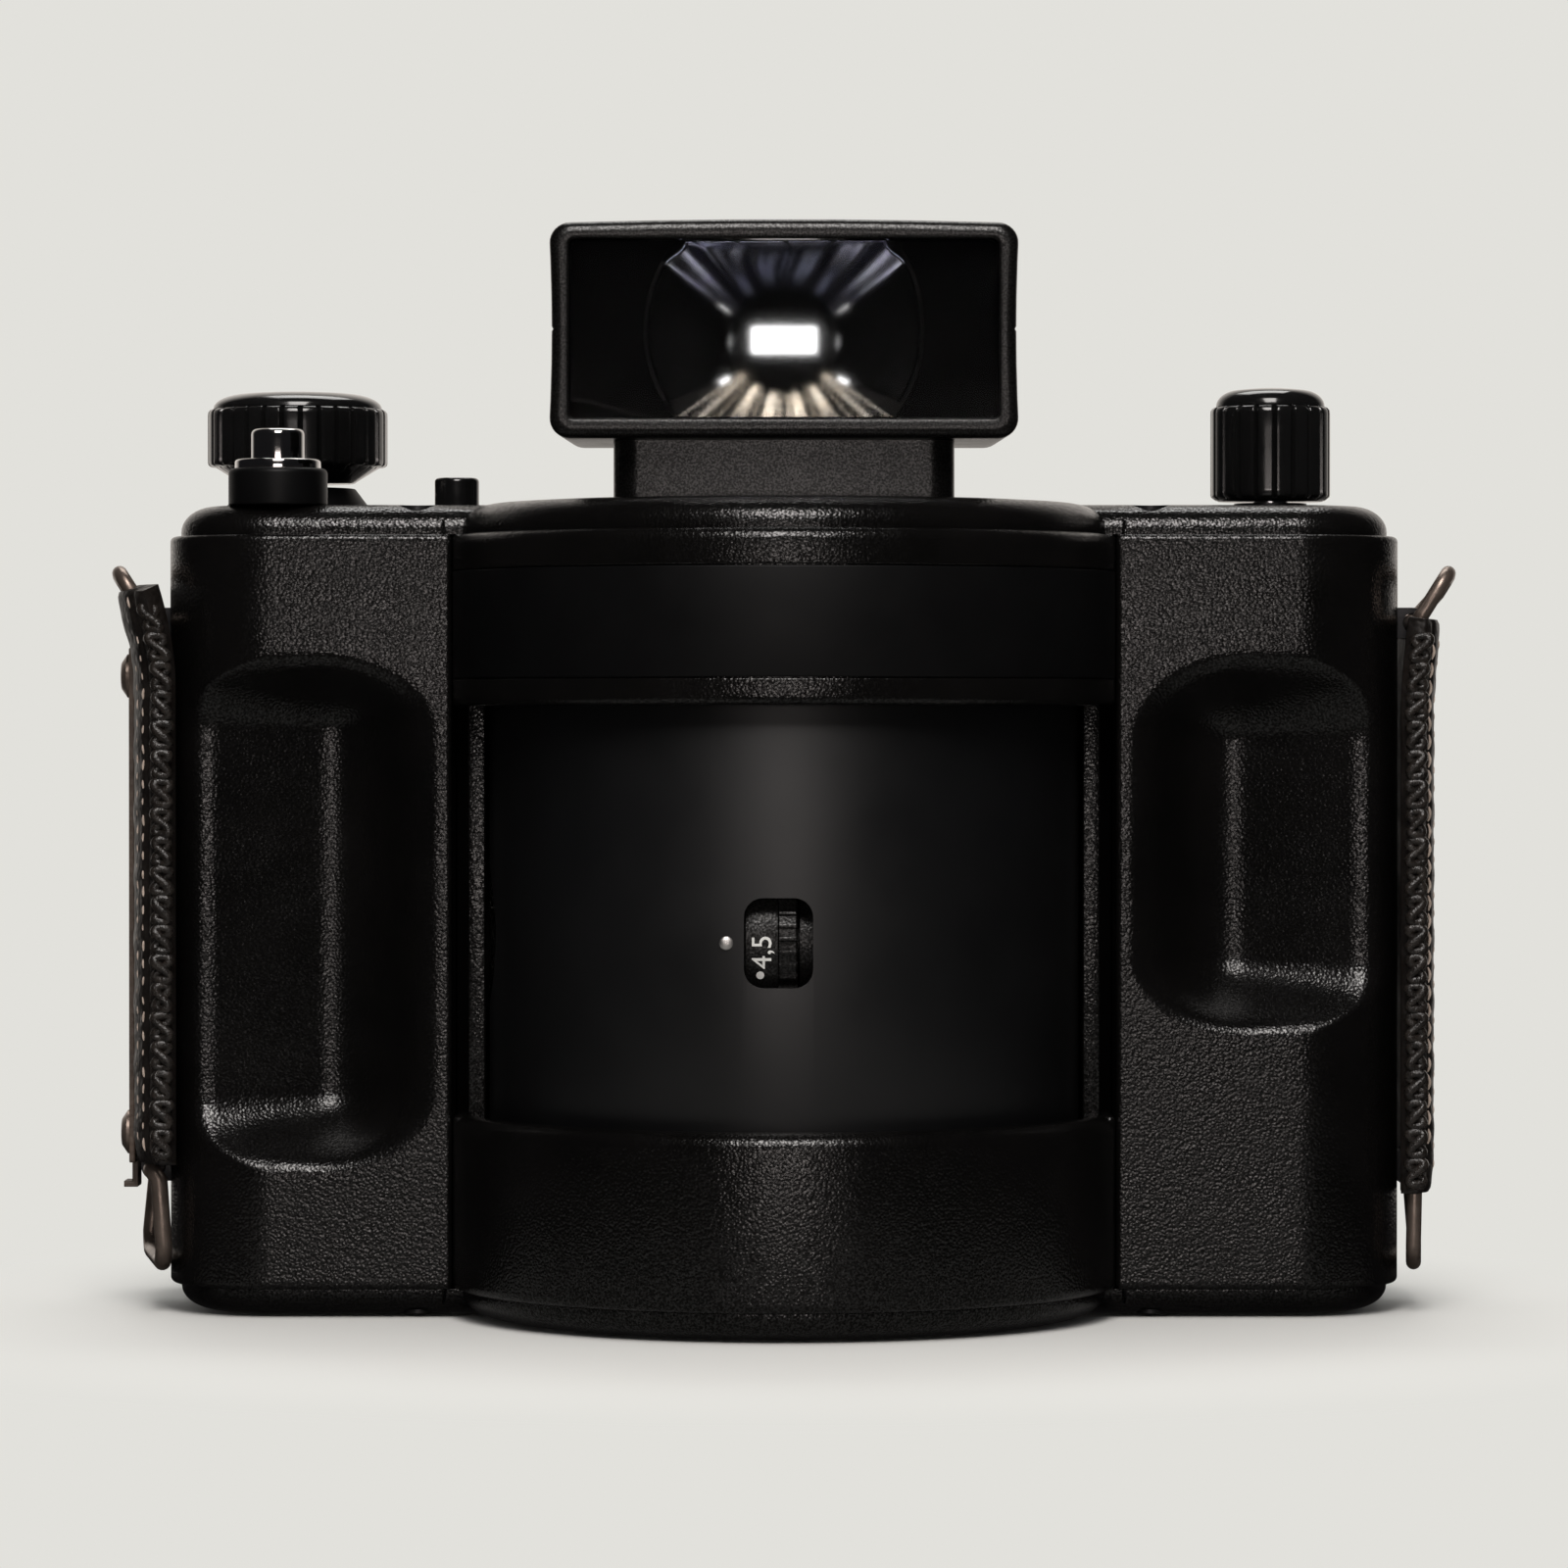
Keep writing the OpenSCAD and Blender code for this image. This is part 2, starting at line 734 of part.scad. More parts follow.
// Film chambers

module chamber_plan() {
    difference() {
        union() {
            translate([jamb_x, chamber_y]) square([inner_x - jamb_x, shell_back - skirt_gap - chamber_y]);
            translate([roller_x - 5, leg_back + 0.6]) square([12, chamber_y - leg_back]);
        }
        circle(gate_out + 0.4);
    }
}

module chamber(shaft_r) {
    difference() {
        union() {
            for (z = [floor_z - chamber_t, ceil_z]) translate([0, 0, z]) linear_extrude(chamber_t) chamber_plan();
            translate([roller_x + 7, chamber_y, floor_z]) cube([inner_x - roller_x - 7, 2, ceil_z - floor_z]);
            translate([jamb_x, skirt_y, base_t])
                cube([inner_x - jamb_x, skirt_t, floor_z - chamber_t - base_t]);
            translate([jamb_x, skirt_y, ceil_z + chamber_t])
                cube([inner_x - jamb_x, skirt_t, cover_z - ceil_z - chamber_t]);
            translate([spool_x, spool_y, floor_z]) cylinder(5.5, r = pivot_r);
        }
        translate([spool_x, spool_y, ceil_z - 1]) cylinder(chamber_t + 2, r = shaft_r + air);
        for (z = [floor_z - chamber_t - 1, ceil_z - 1])
            translate([roller_x, roller_y, z]) cylinder(chamber_t + 2, r = roller_pin_r + run);
    }
}

module left_spool_chamber() {
    color("#4a4b4e") {
        left() chamber(wind_shaft_r);
        translate([counter_x, counter_y, ceil_z + chamber_t]) {
            cylinder(counter_z - air - ceil_z - chamber_t, r = arbor_r + 1.5);
            cylinder(counter_z + counter_t + 1.2 - ceil_z - chamber_t, r = arbor_r);
        }
    }
}

module right_spool_chamber() {
    color("#4a4b4e") chamber(spindle_r);
}

module guide_roller() {
    translate([roller_x, roller_y, 0]) {
        translate([0, 0, floor_z + 1]) cylinder(ceil_z - floor_z - 2, r = roller_r);
        translate([0, 0, floor_z - chamber_t + 0.4])
            cylinder(ceil_z - floor_z + 2 * chamber_t - 0.8, r = roller_pin_r);
    }
}

module left_guide_roller() {
    color("#b9bcc0") left() guide_roller();
}

module right_guide_roller() {
    color("#b9bcc0") guide_roller();
}

// Drive, electronics and battery

module drive_motor() {
    color("#9a9da1") translate([motor_x, motor_y, cover_skin])
        tube(motor_r, motor_shaft_r + run, motor_top - cover_skin);
}

module motor_pinion() {
    color("#c2a14f") translate([motor_x, motor_y, 0]) {
        translate([0, 0, gear_top - gear_t - 0.5])
            gear(drive_m, pinion_teeth, gear_t + 1, motor_at + 180 + 180 / pinion_teeth);
        translate([0, 0, cover_skin + 4]) cylinder(gear_top - gear_t - cover_skin - 4, r = motor_shaft_r);
    }
}

module circuit_board() {
    color("#1f5a3a") {
        translate([roller_x + 8, chamber_y - 6.6, floor_z]) cube([board_w, 1.6, ceil_z - floor_z]);
        for (z = [floor_z + 6, ceil_z - 6], x = [roller_x + 12, roller_x + 4 + board_w])
            translate([x, chamber_y - 5, z]) along_y() cylinder(5, r = 2);
        for (i = [0:3]) translate([roller_x + 13, chamber_y - 8.4, floor_z + 10 + 13 * i]) cube([12, 1.8, 8]);
    }
}

module battery_holder() {
    low = base_t + 0.6;
    color("#202124") difference() {
        translate([cap_x - cell_r - 1.2, cap_y - cell_r - 1.2, low])
            cube([2 * cell_r + 2.4, chamber_y - cap_y + cell_r + 1.2, holder_top - low]);
        translate([cap_x, cap_y, low - 1]) cylinder(holder_top - low - 1, r = cell_r + 0.25);
    }
}

module battery_cap() {
    color("#2b2b2e") difference() {
        translate([cap_x, cap_y, 0.3]) cylinder(base_t - 0.3, r = cap_r);
        translate([cap_x - 0.7 * cap_r, cap_y - 0.9, -1]) cube([1.4 * cap_r, 1.8, 2.6]);
    }
}

module tripod_socket() {
    color("#a9acb0") difference() {
        union() {
            cylinder(9, r = tripod_bush_r);
            translate([0, 0, cover_skin]) cylinder(2.5, r = tripod_bush_r + 4);
        }
        translate([0, 0, -1]) cylinder(8, r = tripod_r);
    }
}

// Drum and lens

module drum_shell() {
    color("#1b1b1d") difference() {
        translate([0, 0, drum_low]) tube(drum_r, drum_r - drum_wall, drum_top - drum_low);
        translate([window_x, -drum_r - 5, axis_z]) along_y() linear_extrude(12)
            plate2d(window_w, window_h, window_r);
        translate([pin_x, -drum_r - 5, axis_z]) along_y() cylinder(12, r = pin_d / 2 + seat);
        translate([-drum_r - 5, 0, axis_z]) along_x() cylinder(15, r = lens_open_r);
        translate([drum_r - 10, -slit_w / 2, axis_z - image_h / 2 - 1]) cube([20, slit_w, image_h + 2]);
    }
}

module drum_plates() {
    color("#55575a") {
        translate([0, 0, plate_low]) cylinder(drum_plate_t, r = drum_r);
        translate([0, 0, drum_top]) cylinder(drum_plate_t, r = drum_r);
        translate([0, 0, gear_top - gear_t - 1]) cylinder(plate_low - gear_top + gear_t + 1, r = trunnion_r);
        translate([0, 0, gear_top]) cylinder(0.6, r = trunnion_r + 3);
        translate([0, 0, plate_top]) cylinder(drum_air + deck_t + 3, r = trunnion_r);
    }
}

module drum_gear() {
    color("#c2a14f") translate([0, 0, gear_top - gear_t]) difference() {
        gear(drive_m, drum_teeth, gear_t, motor_at);
        translate([0, 0, -1]) cylinder(gear_t + 2, r = trunnion_r + seat);
        for (i = [0:5]) rotate([0, 0, i * 60 + 30]) translate([26, 0, -1]) cylinder(gear_t + 2, r = 10);
    }
}

module lens_barrel() {
    rear_x = 14;
    arm_low = wheel_x - air - arm_t - 0.6;
    arm_high = wheel_gear_x + gear_w + air + 1.6;
    color("#2c2d30") translate([0, 0, axis_z]) {
        difference() {
            union() {
                translate([barrel_front, 0, 0]) along_x() cylinder(rear_x - barrel_front, r = barrel_r);
                for (x = [wheel_gear_x - air - collar_x, wheel_gear_x + gear_w + air])
                    translate([x, 0, 0]) along_x() cylinder(collar_x, r = barrel_r + 1);
                for (x = [arm_low, arm_high]) translate([x, -wheel_y - 4, -5]) cube([arm_t, wheel_y + 4, 10]);
                translate([-24, -24, drum_low - axis_z]) cube([4, 48, drum_top - drum_low]);
            }
            translate([barrel_front - 1, 0, 0]) along_x() cylinder(20, r = barrel_r - barrel_wall);
            translate([barrel_front, 0, 0]) along_x() cylinder(rear_x - barrel_front + 1, r = barrel_r - barrel_wall - 4);
            translate([arm_low - 1, -wheel_y, 0]) along_x() cylinder(arm_high - arm_low + arm_t + 2, r = axle_r + run);
        }
    }
}

module lens_disc(r, h, bulge) {
    rotate_extrude() polygon(concat(
        [[0, -bulge], [r, 0], [r, h]],
        [for (a = [0:10:80]) [r * cos(a), h + bulge * sin(a)]],
        [[0, h + bulge]]
    ));
}

module lens_elements() {
    r1 = barrel_r - barrel_wall - seat;
    r2 = barrel_r - barrel_wall - 4 - seat;
    color("#9fc0d0") translate([0, 0, axis_z]) {
        translate([barrel_front + 4, 0, 0]) along_x() mirror([0, 0, 1]) lens_disc(r1, 4, 2);
        translate([6, 0, 0]) along_x() lens_disc(r2, 3, 1.4);
    }
}

module index_pin() {
    y0 = sqrt(drum_r * drum_r - pin_x * pin_x);
    color("#d8d8da") translate([pin_x, -y0 - 0.8, axis_z]) along_y() {
        cylinder(0.5, r1 = pin_d / 2 - 0.5, r2 = pin_d / 2);
        translate([0, 0, 0.5]) cylinder(drum_wall + 0.8, r = pin_d / 2);
    }
}

module aperture_wheel() {
    color("#2e2e30") translate([wheel_x, -wheel_y, axis_z]) along_x() {
        cylinder(number_w, r = wheel_r);
        translate([0, 0, number_w]) ribbed(knurl_r, knurl_n, knurl_w, 0.5, 1);
        translate([0, 0, number_w + knurl_w]) cylinder(0.4, r = 8);
        translate([0, 0, number_w + knurl_w + 0.4]) gear(iris_m, wheel_teeth, gear_w, 90);
        translate([0, 0, -arm_t - air - 0.4])
            cylinder(number_w + knurl_w + gear_w + 2 * arm_t + 2 * air + 2.2, r = axle_r);
    }
}

module aperture_ring() {
    color("#b08d45") translate([wheel_gear_x, 0, axis_z]) along_x() difference() {
        gear(iris_m, ring_teeth, gear_w, -90 + 180 / ring_teeth);
        translate([0, 0, -1]) cylinder(gear_w + 2, r = barrel_r + run);
    }
}

// Wind side

module wind_boss() {
    color("#1f1f22") translate([-spool_x, spool_y, 0]) difference() {
        union() {
            translate([0, 0, body_h]) cylinder(wind_boss_h, r1 = wind_boss_r, r2 = wind_boss_top);
            translate([0, 0, cover_z]) cylinder(top_t, r = wind_boss_top - 2);
        }
        translate([0, 0, cover_z - 1]) cylinder(top_t + wind_boss_h + 2, r = wind_shaft_r + run);
    }
}

module wind_knob() {
    color("#1b1b1e") translate([-spool_x, spool_y, wind_low]) {
        cylinder(wind_cone, r1 = wind_boss_top, r2 = wind_r - 1.6);
        translate([0, 0, wind_cone]) ribbed(wind_r, wind_n, wind_rib_h, 0.7, 0.9);
        translate([0, 0, wind_cone + wind_rib_h]) crown(wind_r - 1, wind_dome);
    }
}

module wind_shaft() {
    color("#b9bcc0") translate([-spool_x, spool_y, 0]) {
        translate([0, 0, spool_top]) cylinder(wind_low - spool_top, r = wind_shaft_r);
        translate([0, 0, spool_top - 5]) cylinder(5, r = pivot_r);
        translate([0, 0, counter_z]) gear(counter_m, counter_pinion, counter_t, counter_at);
    }
}

module take_up_spool() {
    color("#c9b48a") translate([-spool_x, spool_y, 0]) difference() {
        union() {
            translate([0, 0, spool_low]) cylinder(spool_l, r = core_r);
            for (z = [spool_low, spool_top - 1.2]) translate([0, 0, z]) cylinder(1.2, r = flange_r);
        }
        translate([0, 0, spool_low - 1]) cylinder(6.5, r = pivot_r + run);
        translate([0, 0, spool_top - 5.2]) cylinder(6, r = pivot_r + seat);
        translate([-0.6, -core_r - 1, spool_low + 8]) cube([1.2, 2 * core_r + 2, spool_l - 16]);
    }
}

module counter_dial() {
    color("#e4e2da") translate([counter_x, counter_y, counter_z]) difference() {
        union() {
            gear(counter_m, counter_teeth, counter_t, counter_at + 180 + 180 / counter_teeth);
            translate([0, 0, counter_t / 2])
                cylinder(counter_t / 2 + 0.8, r = counter_m * counter_teeth / 2 - 2.4);
        }
        translate([0, 0, -1]) cylinder(counter_t + 3, r = arbor_r + run);
    }
}

// Supply side

module supply_boss() {
    color("#1f1f22") translate([spool_x, spool_y, cover_z]) tube(sleeve_r + wall, sleeve_r + run, top_t + 0.6);
}

module supply_sleeve() {
    low = cover_z - supply_lift - 4;
    color("#b9bcc0") translate([spool_x, spool_y, 0]) {
        translate([0, 0, low]) tube(sleeve_r, spindle_r + run, supply_low - air - low);
        translate([0, 0, low - 2]) tube(sleeve_r + 2, spindle_r + run, 2);
    }
}

module supply_knob() {
    color("#1b1b1e") translate([spool_x, spool_y, supply_low]) {
        ribbed(supply_r, supply_n, supply_rib_h, 0.6, 0.9);
        translate([0, 0, supply_rib_h]) crown(supply_r - 0.8, supply_dome);
    }
}

module supply_spindle() {
    tip = spool_top - 5;
    color("#b9bcc0") translate([spool_x, spool_y, 0]) {
        translate([0, 0, spool_top]) cylinder(supply_low - spool_top, r = spindle_r);
        intersection() {
            translate([0, 0, tip]) cylinder(5, r = spindle_r);
            translate([-1, -spindle_r, tip]) cube([2, 2 * spindle_r, 5]);
        }
    }
}

// Release and small controls

module release_collar() {
    bore = button_d / 2 + air;
    color("#1d1d20") translate([-release_x, release_y, body_h]) difference() {
        union() {
            cylinder(collar_h, d = collar_d);
            cylinder(collar_h + release_ring_h, d = release_ring_d);
        }
        translate([0, 0, -1]) cylinder(collar_h + 3, r = stem_r + run);
        translate([0, 0, collar_h + release_ring_h - 2.4 - button_stroke])
            cylinder(button_stroke + 4, r = bore);
    }
}

module shutter_button() {
    top = collar_h + release_ring_h + button_rise;
    low = collar_h + release_ring_h - 2;
    color("#d4d5d8") translate([-release_x, release_y, body_h]) difference() {
        union() {
            translate([0, 0, low]) cylinder(top - low, d = button_d);
            translate([0, 0, -top_t - 1]) cylinder(top_t + low + 1, r = stem_r);
        }
        translate([0, 0, top - 5]) cylinder(6, r = cable_r);
    }
}

module small_button() {
    color("#1b1b1e") translate([-small_x, small_y, 0]) {
        translate([0, 0, body_h - cover_skin - 0.3]) cylinder(small_rise + cover_skin + 0.3, d = small_d);
        translate([0, 0, body_h - cover_skin - 1.1]) cylinder(0.8, d = small_d + 2);
    }
}

module speed_dial() {
    color("#1b1b1e") translate([0, dial_y, body_h + air]) {
        ribbed(dial_r, 36, dial_h, 0.4, 0.6);
        translate([0, 0, -top_t - air]) cylinder(top_t + air, r = axle_r);
    }
}

// Viewfinder

module finder_neck() {
    color("#232326") translate([0, -neck_front + neck_d / 2, body_h]) difference() {
        linear_extrude(neck_h) plate2d(neck_w, neck_d, 2.4);
        translate([0, 0, -1]) linear_extrude(neck_h - 2 + 1) plate2d(neck_w - 6, neck_d - 6, 1);
    }
}

module finder_box() {
    translate([0, -finder_front, finder_mid]) difference() {
        along_y() linear_extrude(finder_d) plate2d(finder_w, finder_h, finder_r);
        translate([0, -1, 0]) along_y() linear_extrude(finder_d - 1.2)
            plate2d(finder_w - 2 * finder_wall, finder_h - 2 * finder_wall, 1);
        along_y() linear_extrude(finder_d + 1) plate2d(22, 15, 2);
    }
}

module finder_lower_shell() {
    color("#28282b") intersection() {
        finder_box();
        translate([-finder_w, -finder_front - 1, finder_low - 1]) cube([2 * finder_w, finder_d + 2, finder_h / 2 + 1]);
    }
}

module finder_upper_shell() {
    color("#28282b") intersection() {
        finder_box();
        translate([-finder_w, -finder_front - 1, finder_mid]) cube([2 * finder_w, finder_d + 2, finder_h]);
    }
}

module finder_front_lens() {
    w = finder_w - 2 * finder_wall - 2 * seat;
    h = finder_h - 2 * finder_wall - 2 * seat;
    color("#a8c4d4") translate([0, -finder_front + 1.2, finder_mid]) along_y()
        linear_extrude(finder_lens_t) plate2d(w, h, 0.9);
}

module finder_eyepiece() {
    color("#a8c4d4") translate([0, -finder_front + finder_d - 2.2, finder_mid]) along_y()
        linear_extrude(2) plate2d(22 - 2 * seat, 15 - 2 * seat, 1.9);
}

// Door

module door_plan() {
    r = door_r;
    translate([-half_w, door_y]) square([body_w, door_d - r]);
    translate([-half_w + r, door_y]) square([body_w - 2 * r, door_d]);
    for (s = [-1, 1]) translate([s * (half_w - r), body_back - r]) intersection() {
        circle(r);
        translate([-r, door_y - body_back + r]) square([2 * r, 2 * r]);
    }
}

module knuckles(start, count) {
    for (z = [base_t + 14, cover_z - 14 - 3 * knuckle_l], i = [0:count - 1])
        translate([-hinge_x, hinge_y, z + (start + 2 * i) * knuckle_l + air / 2])
            cylinder(knuckle_l - air, r = knuckle_r);
}

module knuckle_webs(start, count, y0, w) {
    for (z = [base_t + 14, cover_z - 14 - 3 * knuckle_l], i = [0:count - 1])
        translate([-hinge_x, y0, z + (start + 2 * i) * knuckle_l + air / 2])
            cube([w, knuckle_r - air, knuckle_l - air]);
}

module back_door() {
    low = base_t + air;
    h = shell_h - 2 * air;
    color("#26262a") difference() {
        union() {
            difference() {
                translate([0, 0, low]) linear_extrude(h) door_plan();
                translate([-half_w + wall, door_y - 1, low + wall])
                    cube([body_w - 2 * wall, door_d - door_skin + 1, h - 2 * wall]);
            }
            knuckles(1, 1);
            knuckle_webs(1, 1, door_y, hinge_x - half_w + 1);
        }
        translate([-hinge_x, hinge_y, 0]) cylinder(body_h, r = hinge_pin_r + run);
    }
}

module door_hinge() {
    color("#3a3a3c") {
        knuckles(0, 2);
        knuckle_webs(0, 2, shell_back - knuckle_r + air, hinge_x - half_w);
        for (z = [base_t + 14, cover_z - 14 - 3 * knuckle_l])
            translate([-hinge_x, hinge_y, z]) cylinder(3 * knuckle_l, r = hinge_pin_r);
    }
}

module pressure_plate() {
    r = film_r + 0.5;
    seat_y = body_back - door_skin;
    color("#4a4b4e") {
        translate([0, 0, axis_z - film_w / 2 + 1.5]) sector(pressure_a, r, r + pressure_t, film_w - 3);
        difference() {
            for (s = [-1, 1], z = [-18, 18]) translate([s * 20, 0, axis_z + z]) along_y() cylinder(seat_y, r = 3);
            cylinder(body_h, r = r + pressure_t / 2);
        }
    }
}

module door_latch() {
    depth = latch_reach + door_d - door_r / 2;
    color("#1b1b1e") translate([half_w + air, door_y - latch_reach, axis_z - latch_h / 2]) {
        cube([latch_t, depth, latch_h]);
        for (i = [1:4]) translate([latch_t, depth / 2, i * latch_h / 5 - 0.6]) cube([0.5, depth / 2 - 0.6, 1.2]);
    }
}

// Hand straps

module wire_ring(l) {
    for (y = [0, ring_w]) translate([0, y, 0]) cylinder(l, r = wire_r);
    for (z = [0, l]) translate([0, 0, z]) along_y() cylinder(ring_w, r = wire_r);
    for (y = [0, ring_w], z = [0, l]) translate([0, y, z]) sphere(wire_r);
}

module upper_ring() {
    translate([ring_x, ring_y, ring_up_z]) rotate([0, ring_tilt, 0]) wire_ring(ring_up_l);
}

module lower_ring() {
    translate([ring_x, ring_y, ring_low_z]) mirror([0, 0, 1]) wire_ring(ring_low_l);
}

module left_upper_ring() {
    color("#6b5f55") left() upper_ring();
}

module left_lower_ring() {
    color("#6b5f55") left() lower_ring();
}

module right_upper_ring() {
    color("#6b5f55") upper_ring();
}

module right_lower_ring() {
    color("#6b5f55") lower_ring();
}

module strap_lug(z) {
    difference() {
        union() {
            translate([half_w, ring_mid - lug_w / 2, z - lug_r]) cube([ring_x - half_w, lug_w, 2 * lug_r]);
            translate([ring_x, ring_mid - lug_w / 2, z]) along_y() cylinder(lug_w, r = lug_r);
        }
        translate([ring_x, ring_mid - lug_w, z]) along_y() cylinder(2 * lug_w, r = wire_r + air);
    }
}

module strap_lugs() {
    color("#2b2b2e") for (s = [0, 1], z = [ring_up_z, ring_low_z]) mirror([s, 0, 0]) strap_lug(z);
}

module pad_plan(wrap) {
    r0 = corner_r + pad_gap;
    r1 = r0 + pad_t;
    rm = (r0 + r1) / 2;
    translate([corner_x, corner_y]) {
        intersection() {
            difference() {
                circle(r1);
                circle(r0);
            }
            polygon([[0, 0], [3 * r1, 0], [3 * r1 * cos(wrap), -3 * r1 * sin(wrap)]]);
        }
        rotate(-wrap) translate([rm, 0]) circle(pad_t / 2);
    }
    translate([half_w + pad_gap, corner_y]) square([pad_t, pad_back - corner_y - pad_t / 2]);
    translate([half_w + pad_gap + pad_t / 2, pad_back - pad_t / 2]) circle(pad_t / 2);
}

module strap_pad(low, wrap) {
    difference() {
        translate([0, 0, low]) linear_extrude(pad_l) pad_plan(wrap);
        translate([corner_x, notch_low, ring_up_z - notch_z]) cube([body_w, notch_high - notch_low, pad_l]);
        translate([corner_x, notch_low, ring_low_z + notch_z - pad_l]) cube([body_w, notch_high - notch_low, pad_l]);
    }
}

module left_strap_pad() {
    color("#2a211c") left() strap_pad(pad_low_left, pad_wrap_left);
}

module right_strap_pad() {
    color("#2a211c") strap_pad(pad_low_right, pad_wrap_right);
}

module left_strap_belt() {
    z0 = rivet_low_z - rivet_d / 2 - 1;
    z1 = rivet_up_z + rivet_d / 2 + 1;
    color("#3a2e27") left() {
        translate([pad_out, ring_mid - belt_w / 2, z0]) cube([belt_t, belt_w, z1 - z0]);
        translate([pad_out, ring_mid - 3, z0 - 3.4]) cube([belt_t, 6, 3.4]);
        translate([pad_out, ring_mid - 3, z0 - 4.4]) cube([2.4, 6, 1]);
    }
}

module strap_rivets() {
    color("#6b5f55") left() for (z = [rivet_low_z, rivet_up_z])
        translate([pad_out + belt_t, ring_mid, z]) along_x() {
            cylinder(rivet_h / 2, d = rivet_d);
            translate([0, 0, rivet_h / 2]) cylinder(rivet_h / 2, d1 = rivet_d, d2 = rivet_d * 0.62);
        }
}

left_grip_shell();
right_grip_shell();
drum_housing();
name_band();
top_cover();
base_cover();
upper_deck();
lower_deck();
film_gate();
left_spool_chamber();
right_spool_chamber();
drum_bearings();
drive_motor();
circuit_board();
battery_holder();
tripod_socket();
release_collar();
wind_boss();
supply_boss();
finder_neck();
finder_lower_shell();
finder_upper_shell();
finder_front_lens();
finder_eyepiece();
strap_lugs();
left_strap_pad();
right_strap_pad();
left_strap_belt();
strap_rivets();
door_hinge();
cover_screws();
drum_shell();
drum_plates();
drum_gear();
lens_barrel();
lens_elements();
index_pin();
aperture_wheel();
aperture_ring();
motor_pinion();
wind_knob();
wind_shaft();
take_up_spool();
counter_dial();
supply_sleeve();
supply_knob();
supply_spindle();
shutter_button();
small_button();
back_door();
pressure_plate();
door_latch();
left_upper_ring();
left_lower_ring();
right_upper_ring();
right_lower_ring();
battery_cap();
speed_dial();
left_guide_roller();
right_guide_roller();
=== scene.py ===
import math

import bmesh
import bpy
import numpy as np
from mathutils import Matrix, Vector


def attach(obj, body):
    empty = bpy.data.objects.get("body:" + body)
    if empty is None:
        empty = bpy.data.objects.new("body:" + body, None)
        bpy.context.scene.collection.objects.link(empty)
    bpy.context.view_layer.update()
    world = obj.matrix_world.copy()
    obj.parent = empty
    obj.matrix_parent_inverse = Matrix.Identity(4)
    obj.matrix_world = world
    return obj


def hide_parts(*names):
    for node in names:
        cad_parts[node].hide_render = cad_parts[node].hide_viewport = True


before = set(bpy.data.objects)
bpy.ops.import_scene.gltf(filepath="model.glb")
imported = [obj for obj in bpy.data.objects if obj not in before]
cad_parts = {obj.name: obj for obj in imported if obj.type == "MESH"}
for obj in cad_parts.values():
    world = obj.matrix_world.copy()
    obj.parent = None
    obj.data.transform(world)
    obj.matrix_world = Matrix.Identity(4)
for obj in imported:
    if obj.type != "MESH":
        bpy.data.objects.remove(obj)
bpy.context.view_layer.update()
SCENE = bpy.context.scene
MM = 0.001

# Sizes of the solids, in millimetres
HALF_W = 101.8
FRONT_Y = -10.0
CORNER_R = 18.0
CORNER_X = HALF_W - CORNER_R
CORNER_Y = FRONT_Y + CORNER_R
BEND_R = 15.0
BEND_X = HALF_W - BEND_R
BEND_Y = FRONT_Y + BEND_R
BASE_Z = 4.5
COVER_Z = 128.0
TOP_Z = 133.0
BACK_Y = 60.0
SHELL_BACK = 52.95
HOUSING_R = 55.0
BORE_R = 50.6
GRIP_X = 54.2
AXIS_Z = 62.5
DRUM_R = 48.5
WIND = (-83.0, 38.0)
SUPPLY = (83.0, 38.0)
RELEASE = (-83.4, 0.5)
SMALL_BUTTON = (-54.4, 10.0)
FINDER_LOW = 142.8
FINDER_H = 35.1
FINDER_W = 74.5
FINDER_FRONT = -30.0
FINDER_BACK = 15.0
RING_X = 104.3
RING_Y = -1.3
RING_W = 30.0
RING_LOW_Z = 23.6
RING_UP_Z = 113.8
OPEN_LOW = 33.0
OPEN_TOP = 100.0
PAD_H = 94.6
# Side, lower end and flare of each pad
LEFT_PAD = (-1, 24.7, 3.4)
RIGHT_PAD = (1, 19.8, 1.4)
# The row of stitches that the rings cross, in degrees, and the room it leaves them
RING_ROW = 19
RING_ROOM = 5.0
SMOOTH_ANGLE = 40
EDGE_ANGLE = 35

# Mesh helpers


def grid_faces(rows, cols, wrap=False):
    faces = []
    for i in range(rows - 1):
        for j in range(cols if wrap else cols - 1):
            k = (j + 1) % cols
            row = i * cols
            faces.append((row + j, row + k, row + cols + k, row + cols + j))
    return faces


def cos_sin(degrees):
    a = math.radians(degrees)
    return math.cos(a), math.sin(a)


def arc(cx, cy, r, start, sweep, steps):
    """Points of an arc about (cx, cy), with its angles in degrees."""
    turns = [cos_sin(start + sweep * k / steps) for k in range(steps + 1)]
    return [(cx + r * c, cy + r * n) for c, n in turns]


def circle(count, shift=0.0):
    """Cosine and sine of even steps round a circle."""
    turns = [2 * math.pi * (k + shift) / count for k in range(count)]
    return [(math.cos(a), math.sin(a)) for a in turns]


def oblong(r0, r1, z0, z1):
    """Corners of a rectangle of (radius, height)."""
    return [(r0, z0), (r1, z0), (r1, z1), (r0, z1)]


